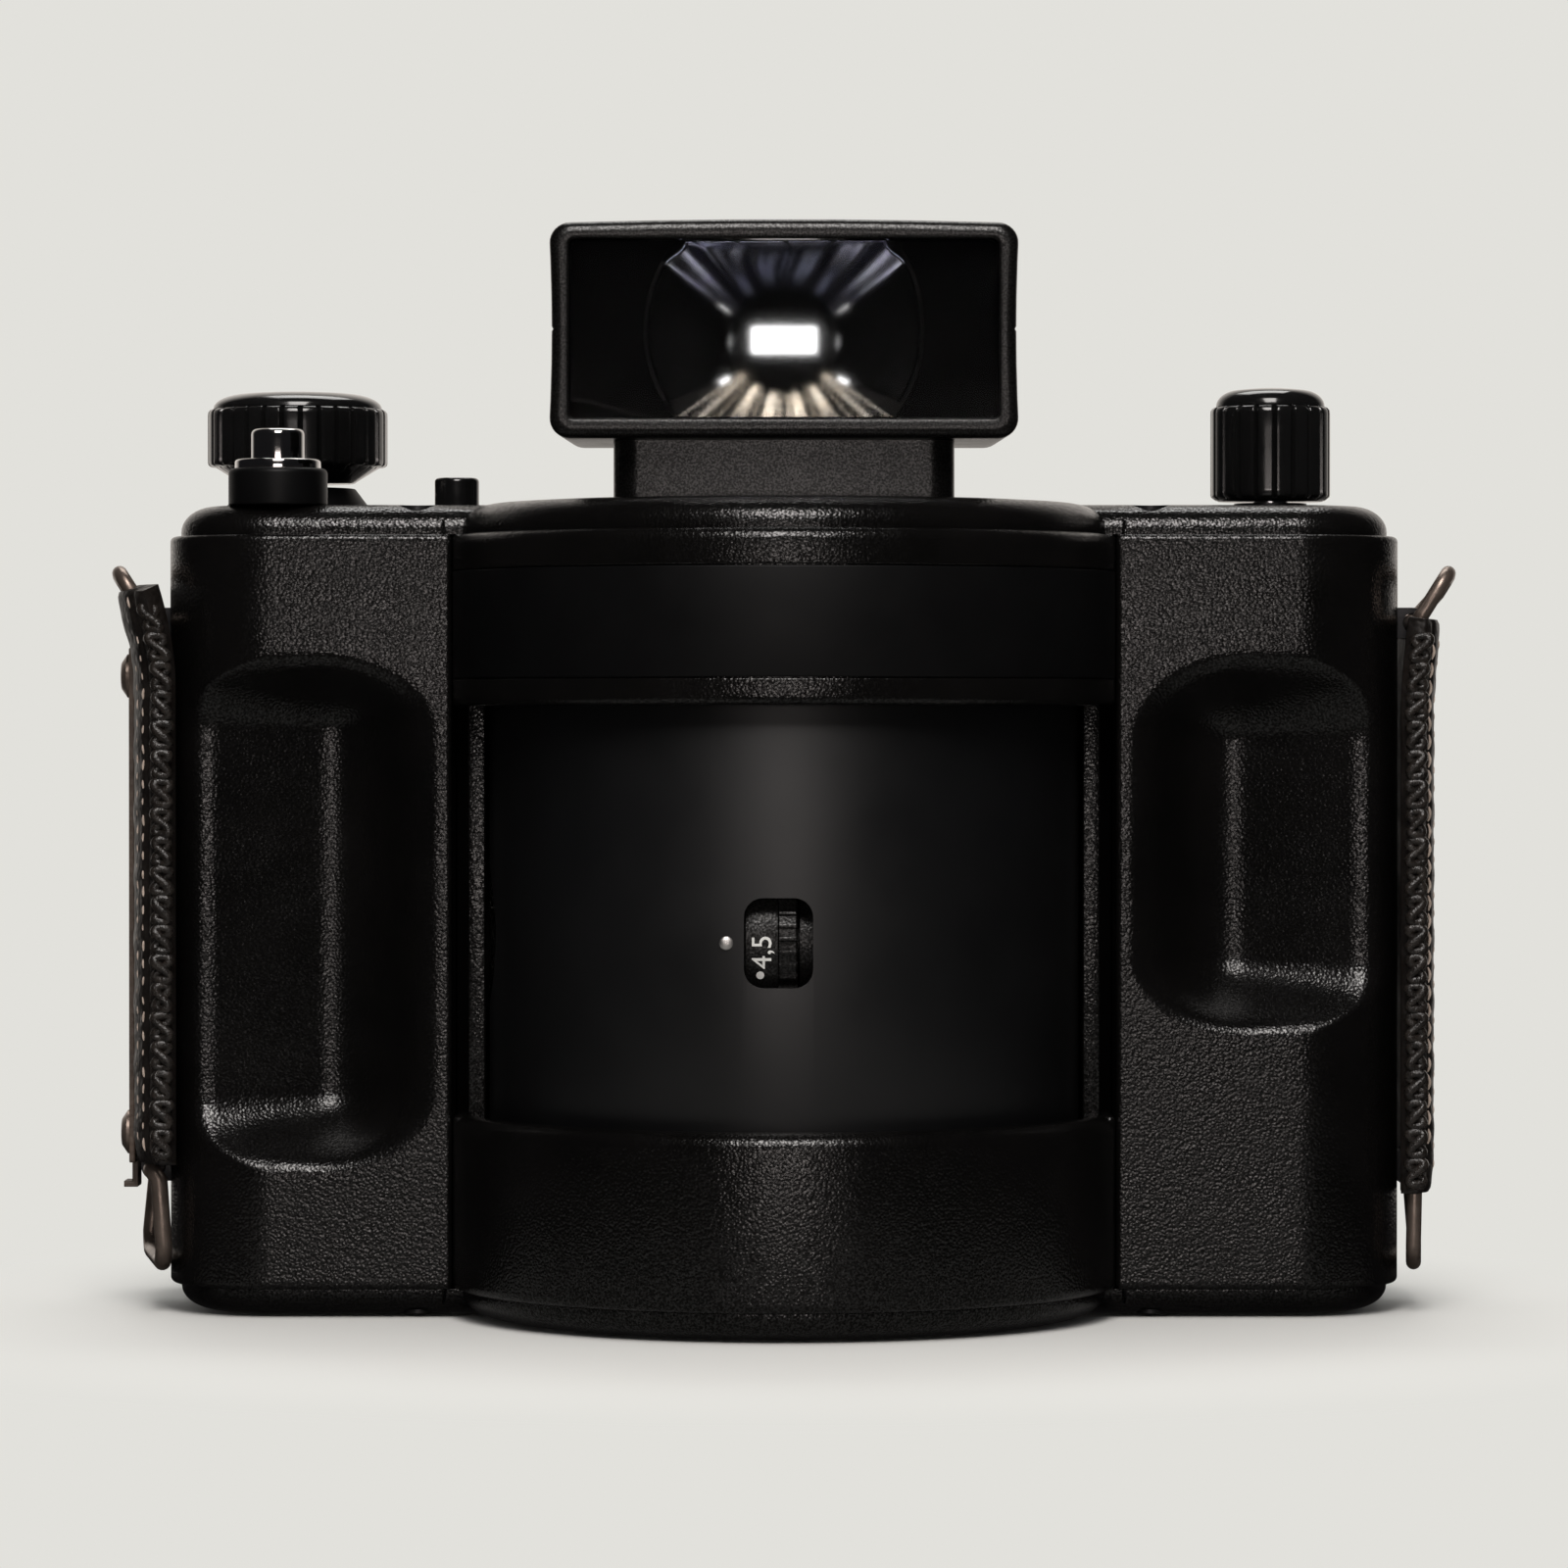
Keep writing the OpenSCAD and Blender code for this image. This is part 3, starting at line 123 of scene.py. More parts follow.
def fillet(points, radii, steps=6):
    """Closed outline with its corners rounded."""
    out = []
    points = np.array(points, float)
    for i, (p, r) in enumerate(zip(points, radii)):
        a = points[i - 1] - p
        b = points[(i + 1) % len(points)] - p
        a /= np.linalg.norm(a)
        b /= np.linalg.norm(b)
        if r <= 0:
            out.append(tuple(p))
            continue
        half = math.acos(max(-1.0, min(1.0, float(a @ b)))) / 2
        reach = r / math.tan(half)
        centre = p + (a + b) / np.linalg.norm(a + b) * r / math.sin(half)
        start = p + a * reach - centre
        end = p + b * reach - centre
        turn = math.acos(max(-1.0, min(1.0, float(start @ end) / r ** 2)))
        for k in range(steps + 1):
            t = k / steps
            q = (start * math.sin((1 - t) * turn) + end * math.sin(t * turn)) / math.sin(turn)
            out.append(tuple(centre + q))
    return out


def linked(name, data):
    """New object in the scene."""
    obj = bpy.data.objects.new(name, data)
    SCENE.collection.objects.link(obj)
    return obj


def build(name, parts, material, body, smooth_angle=SMOOTH_ANGLE, closed=True):
    """One object out of (vertices in mm, faces) parts."""
    verts = []
    faces = []
    for part_verts, part_faces in parts:
        base = len(verts)
        verts.extend(part_verts)
        faces.extend(tuple(base + i for i in f) for f in part_faces)
    mesh = bpy.data.meshes.new(name)
    mesh.from_pydata([(x * MM, y * MM, z * MM) for x, y, z in verts], [], faces)
    work = bmesh.new()
    work.from_mesh(mesh)
    bmesh.ops.remove_doubles(work, verts=work.verts, dist=2e-7)
    bmesh.ops.dissolve_degenerate(work, edges=work.edges, dist=1e-7)
    if closed:
        bmesh.ops.recalc_face_normals(work, faces=work.faces)
    work.to_mesh(mesh)
    work.free()
    mesh.shade_smooth()
    mesh.set_sharp_from_angle(angle=math.radians(smooth_angle))
    obj = linked(name, mesh)
    mesh.materials.append(material)
    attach(obj, body)
    return obj


def loft(sections, cap_first=True, cap_last=True):
    cols = len(sections[0])
    verts = [p for s in sections for p in s]
    faces = grid_faces(len(sections), cols, wrap=True)
    if cap_first:
        faces.append(tuple(range(cols)))
    if cap_last:
        last = (len(sections) - 1) * cols
        faces.append(tuple(last + i for i in range(cols)))
    return verts, faces


def lathe(profile, centre=(0.0, 0.0), count=96):
    """Turned solid about Z from an outline of (radius, height) between two points of the axis."""
    x, y = centre
    turns = circle(count)
    return loft([[(x + r * c, y + r * n, z) for c, n in turns] for r, z in profile], False, False)


def ring_lathe(outline, centre=(0.0, 0.0), count=96):
    """Ring about Z from a closed outline of (radius, height)."""
    return lathe(list(outline) + [outline[0]], centre, count)


def arc_sweep(outline, first, last, count):
    """Closed outline of (radius, height) swept about Z; angle 0 is the front."""
    sections = []
    for k in range(count + 1):
        c, n = cos_sin(first + (last - first) * k / count)
        sections.append([(r * n, -r * c, z) for r, z in outline])
    return loft(sections)


def soft_box(low, high, radius):
    """Box with rounded edges between two corners."""
    work = bmesh.new()
    bmesh.ops.create_cube(work, size=1.0)
    for v in work.verts:
        for i in range(3):
            v.co[i] = low[i] if v.co[i] < 0 else high[i]
    if radius > 0:
        bmesh.ops.bevel(work, geom=work.edges[:], offset=radius, segments=3, profile=0.5, affect="EDGES")
    work.verts.index_update()
    verts = [tuple(v.co) for v in work.verts]
    faces = [tuple(v.index for v in f.verts) for f in work.faces]
    work.free()
    return verts, faces


def tube(path, radius, sides=12, closed=False):
    """Round tube along a path of points; radius may be a list."""
    pts = [Vector(p) for p in path]
    count = len(pts)
    tangents = []
    for i in range(count):
        a = pts[i - 1] if closed or i > 0 else pts[i]
        b = pts[(i + 1) % count] if closed or i < count - 1 else pts[i]
        tangents.append((b - a).normalized())
    side = tangents[0].orthogonal().normalized()
    sections = []
    for i, p in enumerate(pts):
        side = (side - tangents[i] * side.dot(tangents[i])).normalized()
        up = tangents[i].cross(side)
        r = radius[i] if isinstance(radius, list) else radius
        sections.append([tuple(p + side * (r * c) + up * (r * n)) for c, n in circle(sides)])
    if closed:
        first = Vector(sections[0][0])
        best = min(range(sides), key=lambda k: (Vector(sections[-1][k]) - first).length)
        sections.append(sections[0][-best:] + sections[0][:-best])
        return loft(sections, False, False)
    return loft(sections)


QUARTERS = ((1, 1, 0), (-1, 1, 90), (-1, -1, 180), (1, -1, 270))


def rounded_rect(w, h, radius, steps=8):
    """Closed outline of (u, v), centred."""
    pts = []
    for cx, cy, start in QUARTERS:
        pts += arc(cx * (w / 2 - radius), cy * (h / 2 - radius), radius, start, 90, steps)
    return pts


def evaluated(obj):
    """Mesh of an object with its modifiers or its text applied."""
    bpy.context.view_layer.update()
    return bpy.data.meshes.new_from_object(obj.evaluated_get(bpy.context.evaluated_depsgraph_get()))


def cut(obj, parts, operation="DIFFERENCE"):
    """Boolean with a scratch object, applied at once."""
    for part in parts:
        tool = build("scratch", [part], obj.data.materials[0], "body")
        mod = obj.modifiers.new("cut", "BOOLEAN")
        mod.operation = operation
        mod.solver = "EXACT"
        mod.object = tool
        done = evaluated(obj)
        obj.modifiers.remove(mod)
        old = obj.data
        obj.data = done
        done.name = old.name
        bpy.data.meshes.remove(old)
        bpy.data.objects.remove(tool)
    obj.data.shade_smooth()
    obj.data.set_sharp_from_angle(angle=math.radians(SMOOTH_ANGLE))


def column(x, y, r, z0, z1, count=48):
    return lathe(oblong(0, r, z0, z1), (x, y), count)


def soften(obj, width):
    """Narrow bevel on the sharp edges."""
    mod = obj.modifiers.new("soft_edges", "BEVEL")
    mod.width = width * MM
    mod.segments = 2
    mod.limit_method = "ANGLE"
    mod.angle_limit = math.radians(EDGE_ANGLE)
    mod.use_clamp_overlap = True
    mod.harden_normals = True


def thicken(obj, thickness, offset):
    mod = obj.modifiers.new("wall", "SOLIDIFY")
    mod.thickness = thickness * MM
    mod.offset = offset


# Materials

MOTTLE_SPAN = (0.3, 0.7)
FLECK_SPAN = (0.42, 0.62)
COAT_ROUGH = 0.08
GLASS_IOR = 1.5


def set_inputs(node, values):
    for key, value in values.items():
        node.inputs[key].default_value = value


def add(tree, kind, values=None):
    """New shader node, with some of its inputs set."""
    node = tree.nodes.new("ShaderNode" + kind)
    set_inputs(node, values or {})
    return node


def noise(tree, where, scale, detail=2.0):
    node = add(tree, "TexNoise", {"Scale": scale, "Detail": detail})
    tree.links.new(where, node.inputs["Vector"])
    return node.outputs["Fac"]


def spread(tree, value, source, target=(0.0, 1.0), kind="LINEAR"):
    """Value carried from one range to another."""
    node = add(tree, "MapRange", {"From Min": source[0], "From Max": source[1],
                                  "To Min": target[0], "To Max": target[1]})
    node.interpolation_type = kind
    tree.links.new(value, node.inputs["Value"])
    return node.outputs["Result"]


def smooth_step(tree, value, low, high):
    return spread(tree, value, (low, high), kind="SMOOTHSTEP")


def compute(tree, operation, *values):
    """Math node fed with sockets and plain numbers."""
    node = add(tree, "Math")
    node.operation = operation
    for socket, value in zip(node.inputs, values):
        if isinstance(value, float):
            socket.default_value = value
        else:
            tree.links.new(value, socket)
    return node.outputs["Value"]


def blend(tree, share, first, second):
    node = add(tree, "MixShader")
    for key, value in (("Fac", share), (1, first), (2, second)):
        tree.links.new(value, node.inputs[key])
    return node.outputs["Shader"]


def principled(name):
    mat = bpy.data.materials.new(name)
    mat.use_nodes = True
    return mat, mat.node_tree, mat.node_tree.nodes["Principled BSDF"]


def surface(name, dark, light, rough, mottle, *bumps, metallic=0.0, level=0.5, coat=0.0, fleck=None):
    """Principled surface with mottled colour and roughness and a stack of bumps, in object space."""
    mat, tree, shader = principled(name)
    link = tree.links.new
    set_inputs(shader, {"Metallic": metallic, "Specular IOR Level": level, "Coat Weight": coat,
                        "Coat Roughness": COAT_ROUGH})
    where = add(tree, "TexCoord").outputs["Object"]
    tint = add(tree, "ValToRGB")
    for stop, place, colour in zip(tint.color_ramp.elements, MOTTLE_SPAN, (dark, light)):
        stop.position = place
        stop.color = (*colour, 1.0)
    link(noise(tree, where, mottle, 5.0), tint.inputs["Fac"])
    link(tint.outputs["Color"], shader.inputs["Base Color"])
    patches = noise(tree, where, mottle * 2.3, 4.0)
    link(spread(tree, patches, MOTTLE_SPAN, rough), shader.inputs["Roughness"])
    if fleck:
        specks = noise(tree, where, fleck[0])
        link(spread(tree, specks, FLECK_SPAN, fleck[1:]), shader.inputs["Specular IOR Level"])
    last = None
    for kind, scale, strength, distance in bumps:
        if kind == "cells":
            cells = add(tree, "TexVoronoi")
            cells.feature = "SMOOTH_F1"
            set_inputs(cells, {"Smoothness": 0.4, "Scale": scale})
            link(where, cells.inputs["Vector"])
            height = cells.outputs["Distance"]
        else:
            height = noise(tree, where, scale, 3.0)
        bump = add(tree, "Bump", {"Strength": strength, "Distance": distance})
        bump.invert = kind == "cells"
        link(height, bump.inputs["Height"])
        if last:
            link(last, bump.inputs["Normal"])
        last = bump.outputs["Normal"]
    if last:
        link(last, shader.inputs["Normal"])
    return mat


def glass(name, tint, rough=0.01, glare=1.0):
    mat, tree, shader = principled(name)
    set_inputs(shader, {"Base Color": (*tint, 1.0), "Transmission Weight": 1.0, "IOR": GLASS_IOR,
                        "Specular Tint": (glare, glare, glare, 1.0)})
    smear = noise(tree, add(tree, "TexCoord").outputs["Object"], 90.0)
    gloss = spread(tree, smear, (0.0, 1.0), (rough, rough + 0.03))
    tree.links.new(gloss, shader.inputs["Roughness"])
    return mat


grained = surface("grained_black", (0.0018, 0.0017, 0.0016), (0.0034, 0.0031, 0.003), (0.18, 0.26), 60.0,
                  ("cells", 2000.0, 1.0, 0.000056), fleck=(2800.0, 0.12, 0.7))
fine_grained = surface("fine_grained_black", (0.003, 0.0028, 0.0027), (0.005, 0.0047, 0.0045), (0.3, 0.4),
                       60.0, ("cells", 2200.0, 1.0, 0.00005), fleck=(2600.0, 0.2, 0.7))
finder_black = surface("finder_black", (0.0026, 0.0024, 0.0023), (0.0042, 0.0039, 0.0037), (0.27, 0.31),
                       60.0, ("cells", 2600.0, 1.0, 0.000018), fleck=(2900.0, 0.25, 0.65))
satin = surface("satin_black", (0.0018, 0.0018, 0.002), (0.003, 0.003, 0.0032), (0.4, 0.5), 40.0,
                ("noise", 900.0, 0.05, 0.00008), level=0.15)
matte = surface("matte_black", (0.0014, 0.0015, 0.0018), (0.0026, 0.0027, 0.0032), (0.36, 0.44), 25.0,
                ("noise", 1800.0, 0.08, 0.00008), level=0.62)
gloss_black = surface("gloss_black", (0.004, 0.004, 0.004), (0.006, 0.006, 0.006), (0.12, 0.22), 70.0,
                      ("noise", 700.0, 0.03, 0.00008), coat=0.3)
# Near-black that barely reflects: the black inside of the finder, and painted shade at the back of the slots
# beside the jambs
black_and_painted_shade = surface("black_and_painted_shade", (0.0012, 0.0011, 0.0011), (0.002, 0.0018, 0.0018), (0.6, 0.75), 60.0,
                     ("noise", 1500.0, 0.1, 0.0001), level=0.02)
cool_mirror = surface("cool_mirror", (0.62, 0.62, 1.0), (0.76, 0.84, 1.0), (0.2, 0.26), 110.0, metallic=1.0)
warm_mirror = surface("warm_mirror", (0.4, 0.32, 0.23), (0.46, 0.41, 0.34), (0.24, 0.3), 110.0, metallic=1.0)
chrome = surface("chrome", (0.62, 0.6, 0.59), (0.74, 0.73, 0.72), (0.06, 0.14), 120.0, metallic=1.0)
pin_silver = surface("pin_silver", (0.66, 0.64, 0.62), (0.82, 0.8, 0.78), (0.34, 0.46), 500.0, metallic=1.0)
steel = surface("steel", (0.4, 0.4, 0.41), (0.52, 0.52, 0.53), (0.22, 0.36), 160.0,
                ("noise", 1200.0, 0.06, 0.0001), metallic=1.0)
dark_steel = surface("dark_steel", (0.03, 0.03, 0.032), (0.06, 0.06, 0.062), (0.3, 0.42), 160.0,
                     ("noise", 1200.0, 0.08, 0.0001), metallic=0.9)
aluminium = surface("aluminium", (0.42, 0.43, 0.44), (0.52, 0.53, 0.54), (0.3, 0.42), 120.0,
                    ("noise", 1500.0, 0.08, 0.0001), metallic=1.0)
brass = surface("brass", (0.5, 0.36, 0.14), (0.62, 0.46, 0.2), (0.22, 0.36), 140.0,
                ("noise", 1300.0, 0.06, 0.0001), metallic=1.0)
ring_metal = surface("ring_metal", (0.16, 0.125, 0.105), (0.3, 0.24, 0.205), (0.28, 0.42), 220.0,
                     ("noise", 900.0, 0.1, 0.00012), metallic=0.85)
LEATHER = (("cells", 900.0, 0.5, 0.0003), ("noise", 420.0, 0.3, 0.0004))
leather = surface("strap_leather", (0.004, 0.003, 0.0025), (0.011, 0.008, 0.0065), (0.36, 0.56), 180.0,
                  *LEATHER)
belt_leather = surface("belt_leather", (0.045, 0.03, 0.022), (0.09, 0.062, 0.046), (0.45, 0.65), 160.0,
                       *LEATHER)
lace = surface("lacing", (0.005, 0.004, 0.0034), (0.02, 0.016, 0.0135), (0.22, 0.36), 700.0,
               ("noise", 2200.0, 0.5, 0.0003))
thread = surface("stitching", (0.28, 0.22, 0.18), (0.5, 0.41, 0.35), (0.5, 0.7), 900.0,
                 ("noise", 3500.0, 0.5, 0.0002))
white_paint = surface("white_paint", (0.6, 0.6, 0.58), (0.72, 0.72, 0.7), (0.4, 0.5), 300.0)
board_green = surface("board_green", (0.02, 0.1, 0.05), (0.03, 0.14, 0.07), (0.35, 0.5), 200.0,
                      ("cells", 500.0, 0.2, 0.0003))
DUST = ("noise", 1400.0, 0.1, 0.0001)
inner_plastic = surface("inner_plastic", (0.02, 0.02, 0.022), (0.032, 0.032, 0.034), (0.45, 0.6), 120.0,
                        DUST)
spool_plastic = surface("spool_plastic", (0.04, 0.04, 0.042), (0.06, 0.06, 0.06), (0.35, 0.5), 120.0, DUST)
dial_white = surface("dial_white", (0.62, 0.61, 0.57), (0.7, 0.69, 0.65), (0.4, 0.55), 200.0)
lens_glass = glass("lens_glass", (0.9, 0.93, 0.97))
finder_glass = glass("finder_glass", (0.97, 0.98, 1.0), 0.11, glare=0.04)
eye_glass = glass("eye_glass", (0.97, 0.98, 1.0))

# Grip shells with their finger recesses

RIM_KNEE = 0.4
FLOOR_KNEE = 0.9


def ramp(s, k):
    """The larger of 0 and s, with a round knee of half width k."""
    k = np.maximum(k, 1e-6)
    return np.where(s < -k, 0.0, np.where(s > k, s, (s + k) ** 2 / (4 * k)))


def grip_plan():
    """Points and outward normals of the grip's outline, from the housing seam to the door.

    Also the number of points on the seam and the place of the last point of the corner.
    """
    seam = GRIP_X + 0.1
    r = 0.9
    edge = 0.8
    pts = [(seam, y, -1.0, 0.0) for y in (7.0, 2.0, -4.0)]
    for k in range(6):
        c, n = cos_sin(90 * k / 5)
        pts.append((seam + r - r * c, FRONT_Y + r - r * n, -c, -n))
    on_seam = len(pts)
    pts += [(float(x), FRONT_Y, 0.0, -1.0) for x in np.linspace(seam + r, CORNER_X, 76)[1:]]
    for k in range(1, 57):
        c, n = cos_sin(90 * k / 56)
        pts.append((CORNER_X + CORNER_R * n, CORNER_Y - CORNER_R * c, n, -c))
    corner_end = len(pts) - 1
    pts += [(HALF_W, float(y), 1.0, 0.0) for y in np.linspace(CORNER_Y, SHELL_BACK - edge, 24)[1:]]
    for k in range(1, 5):
        c, n = cos_sin(90 * k / 4)
        pts.append((HALF_W - edge + edge * c, SHELL_BACK - edge + edge * n, c, n))
    return np.array(pts), on_seam, corner_end


def grip_rows(edge):
    """Heights of the rows, with how far the outline is drawn in at the rounded ends."""
    low = [(BASE_Z, edge + 0.8)]
    for k in range(7):
        c, n = cos_sin(15 * k)
        low.append((BASE_Z + edge * (1 - c), edge * (1 - n)))
    middle = [(float(z), 0.0) for z in np.linspace(BASE_Z + edge, COVER_Z - edge, 236)[1:-1]]
    return low + middle + [(BASE_Z + COVER_Z - z, inset) for z, inset in reversed(low)]


def recess_depth(x, z, rim_x, run_x, low, run_low, top, run_top):
    """Share of the full depth at a point of the front, 0 outside the rim and 1 on the floor."""
    reach = 1 + FLOOR_KNEE
    sx = (x - rim_x) / run_x
    sz = np.minimum((z - low) / run_low, (top - z) / run_top)
    ux = np.maximum(0.0, reach - sx)
    uz = np.maximum(0.0, reach - sz)
    s = reach - np.sqrt(ux * ux + uz * uz)
    return ramp(s, RIM_KNEE) - ramp(s - 1, FLOOR_KNEE)


def grip_shell(name, side, rim_x, run_x, low, run_low, top, run_top):
    plan, on_seam, corner_end = grip_plan()
    side_wall = slice(corner_end + 1, None)
    rows = grip_rows(0.9)
    floor_r = 9.0
    tilt_knee = 9.0
    wall_knee = 2.4
    deep_in = 15.0
    deep_out = 4.6
    verts = []
    for z, inset in rows:
        x = plan[:, 0] - plan[:, 2] * inset
        y = plan[:, 1] - plan[:, 3] * inset
        share = recess_depth(x, z, rim_x, run_x, low, run_low, top, run_top)
        share[:on_seam] = 0.0
        share[side_wall] = 0.0
        over = np.clip(x - (HALF_W - floor_r), 0.0, floor_r)
        bend = floor_r - np.sqrt(np.maximum(floor_r * floor_r - over * over, 0.0))
        tilt = np.minimum(ramp(x - rim_x - run_x, tilt_knee) / (HALF_W - rim_x - run_x), 1.0)
        depth = deep_in + (deep_out - deep_in) * tilt
        wall = FRONT_Y + share * (depth + bend)
        new_y = np.where(share > 0, wall + ramp(y - wall, wall_knee * share), y)
        new_y[:on_seam] = y[:on_seam]
        start = new_y[corner_end]
        span = plan[side_wall, 1]
        stretched = start + (span - CORNER_Y) * (SHELL_BACK - start) / (SHELL_BACK - CORNER_Y)
        new_y[side_wall] = np.where(share[corner_end] > 0, stretched, y[side_wall])
        verts.extend((side * a, b, z) for a, b in zip(x, new_y))
    faces = grid_faces(len(rows), len(plan))
    if side < 0:
        faces = [f[::-1] for f in faces]
    obj = build(name, [(verts, faces)], grained, "body", closed=False)
    thicken(obj, 2.3, -1.0)
    return obj


left_grip = grip_shell("left_grip", -1, 60.0, 9.0, 25.6, 6.1, 106.4, 5.6)
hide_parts("left_grip_shell")
right_grip = grip_shell("right_grip", 1, 59.7, 8.8, 48.0, 5.8, 106.4, 6.5)
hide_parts("right_grip_shell")

# Drum housing

SEAT_R = 54.35
SEAT_LOW = 104.25
SEAT_TOP = 122.05
ARC = 79.4
ARC_STEPS = 200
upper_outline = fillet([(BORE_R, OPEN_TOP), (HOUSING_R, OPEN_TOP), (HOUSING_R, SEAT_LOW), (SEAT_R, SEAT_LOW),
                        (SEAT_R, SEAT_TOP), (HOUSING_R, SEAT_TOP), (HOUSING_R, COVER_Z), (BORE_R, COVER_Z)],
                       [0.4, 1.3, 0.3, 0, 0, 0.3, 2.0, 0.4])
lower_outline = fillet(oblong(BORE_R, HOUSING_R, BASE_Z, OPEN_LOW), [0.4, 1.6, 2.7, 0.8], 8)
slot_shade_parts = []
housing_parts = [arc_sweep(outline, -ARC, ARC, ARC_STEPS) for outline in (upper_outline, lower_outline)]
for side in (-1, 1):
    x0, x1 = sorted((side * 49.6, side * GRIP_X))
    housing_parts.append(soft_box((x0, -9.9, OPEN_TOP), (x1, 8, COVER_Z), 0.9))
    housing_parts.append(soft_box((x0, -9.9, BASE_Z), (x1, 8, OPEN_LOW), 0.9))
    # Near-black wall at the back of the slot between jamb and grip: painted shade in the slot
    slot_shade_parts.append(soft_box((x0, 4.5, OPEN_LOW - 1), (x1, 7, OPEN_TOP + 1), 0.3))
    x0, x1 = sorted((side * 48.85, side * 51.7))
    housing_parts.append(soft_box((x0, -8, OPEN_LOW - 1), (x1, 6, OPEN_TOP + 1), 0.3))
housing = build("housing", housing_parts, grained, "body")
# The slot walls get the near-black that barely reflects: painted shade
slot_shade = build("housing_slot_shade", slot_shade_parts, black_and_painted_shade, "body")
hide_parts("drum_housing")
band_outline = fillet(oblong(54.4, 54.97, 104.4, 121.9), [0, 0.25, 0.25, 0], 3)
band = build("band", [arc_sweep(band_outline, -ARC + 0.3, ARC - 0.3, ARC_STEPS)], satin, "body")
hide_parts("name_band")

# Covers

COVER_IN = 1.8


def cover_parts(z_edge, z_face, inset_max, rise):
    """Rounded plate and drum disc, each as a loft from the joint to the outer face."""
    sign = 1 if z_face > z_edge else -1
    levels = [(0.0, z_edge)]
    for k in range(11):
        c, n = cos_sin(9 * k)
        levels.append((inset_max * (1 - c), z_face - sign * rise * (1 - n)))
    back_r = 4.7
    back_most = 3.9
    back_x = HALF_W - 6.5
    back_y = BACK_Y - 6.5
    plates = []
    discs = []
    for inset, z in levels:
        front = CORNER_R - COVER_IN - inset
        back = back_r - min(inset, inset * back_most / inset_max)
        outline = []
        for cx, cy, r, start in ((CORNER_X, CORNER_Y, front, -90), (back_x, back_y, back, 0),
                                 (-back_x, back_y, back, 90), (-CORNER_X, CORNER_Y, front, 180)):
            outline += arc(cx, cy, r, start, 90, 16)
        plates.append([(x, y, z) for x, y in outline])
        r = HOUSING_R - COVER_IN - inset
        discs.append([(r * c, r * n, z) for c, n in circle(192)])
    return loft(plates), loft(discs)


SCREWS = [(94.9, 22.0), (94.9, 46.75), (60.2, -3.1)]
SCREW_R = 2.95
COUNTER = (-63.6, 35.8)
COUNTER_R = 2.5
BATTERY = (-81.9, 11.0)
BATTERY_R = 8.35
TRIPOD_R = 6.55


def screw_seats(low, high):
    return [column(s * x, y, SCREW_R, low, high, 32) for s in (-1, 1) for x, y in SCREWS]


plate, disc = cover_parts(COVER_Z, TOP_Z, 5.6, 4.3)
top = build("top_plate", [plate], grained, "body")
cut(top, [disc], "UNION")
cut(top, screw_seats(130.6, 135))
cut(top, [column(*COUNTER, COUNTER_R, 120, 140, 32)])
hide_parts("top_cover")
plate, disc = cover_parts(BASE_Z, 0.0, 6.2, 3.9)
base = build("base_plate", [plate], grained, "body")
cut(base, [disc], "UNION")
cut(base, screw_seats(-2, 2.4))
cut(base, [column(*BATTERY, BATTERY_R, -2, 8), column(0, 0, TRIPOD_R, -2, 8)])
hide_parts("base_cover")

# Drum

DRUM_IN = 46.5
DRUM_LOW = 31.5
DRUM_TOP = 101.5
WINDOW_X = 0.86
LENS_R = 12.0
shell_outline = fillet(oblong(DRUM_IN, DRUM_R, DRUM_LOW, DRUM_TOP), [0.2, 0.4, 0.4, 0.2], 3)
drum = build("drum", [ring_lathe(shell_outline, count=256)], matte, "drum")
window = rounded_rect(10.9, 14.2, 3.0)
window_hole = loft([[(x - WINDOW_X, y, z + AXIS_Z) for x, z in window] for y in (-56, -40)])
slit = soft_box((40, -2, 36.5), (56, 2, 88.5), 0)
lens_hole = loft([[(x, LENS_R * c, AXIS_Z + LENS_R * n) for c, n in circle(64)] for x in (-56, -40)])
cut(drum, [window_hole, slit, lens_hole])
soften(drum, 0.22)
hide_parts("drum_shell")


def sideways(parts, x, y, z):
    """Turn parts built about Z so that their axis lies along X."""
    return [([(x + w, y + v, z - u) for u, v, w in verts], faces) for verts, faces in parts]


def figure(text, size, raise_by):
    """Solid letters in the XY plane, centred."""
    curve = bpy.data.curves.new("figure", "FONT")
    curve.body = text
    curve.size = size
    curve.extrude = raise_by
    curve.align_x = "CENTER"
    curve.align_y = "CENTER"
    curve.resolution_u = 4
    obj = linked("figure", curve)
    mesh = evaluated(obj)
    verts = [tuple(v.co) for v in mesh.vertices]
    faces = [tuple(f.vertices) for f in mesh.polygons]
    bpy.data.objects.remove(obj)
    bpy.data.curves.remove(curve)
    bpy.data.meshes.remove(mesh)
    return verts, faces


WHEEL_Y = -32.0
WHEEL_X = -6.26
WHEEL_R = 13.6
AXLE_R = 1.45
KNURLS = 42


def knurled_wheel():
    """Number wheel with its stepped knurl, its gear hub and its axle, about Z."""
    numbers = ring_lathe(fillet(oblong(AXLE_R, WHEEL_R, 0, 5.4), [0, 0.3, 0.15, 0], 4), count=128)
    knurl = ((0.0, 0.0), (0.08, 0.62), (0.2, 0.7), (0.34, 0.62), (0.42, 0.05), (0.75, 0.0))
    sections = []
    for z, drop in ((5.4, 0.3), (5.55, 0.0), (8.15, 0.0), (8.4, 0.25)):
        loop = []
        for i in range(KNURLS):
            for t, h in knurl:
                a = 2 * math.pi * (i + t) / KNURLS
                r = WHEEL_R + h - drop
                loop.append((r * math.cos(a), r * math.sin(a), z))
        sections.append(loop)
    axle = lathe(fillet(oblong(0, AXLE_R, -2.2, 14.0), [0, 0.2, 0.2, 0], 3), count=32)
    hub = lathe([(0, 8.4), (8.0, 8.4), (8.0, 8.8), (11.6, 8.8), (11.6, 11.2), (0, 11.2)], count=64)
    return [numbers, loft(sections), axle, hub]


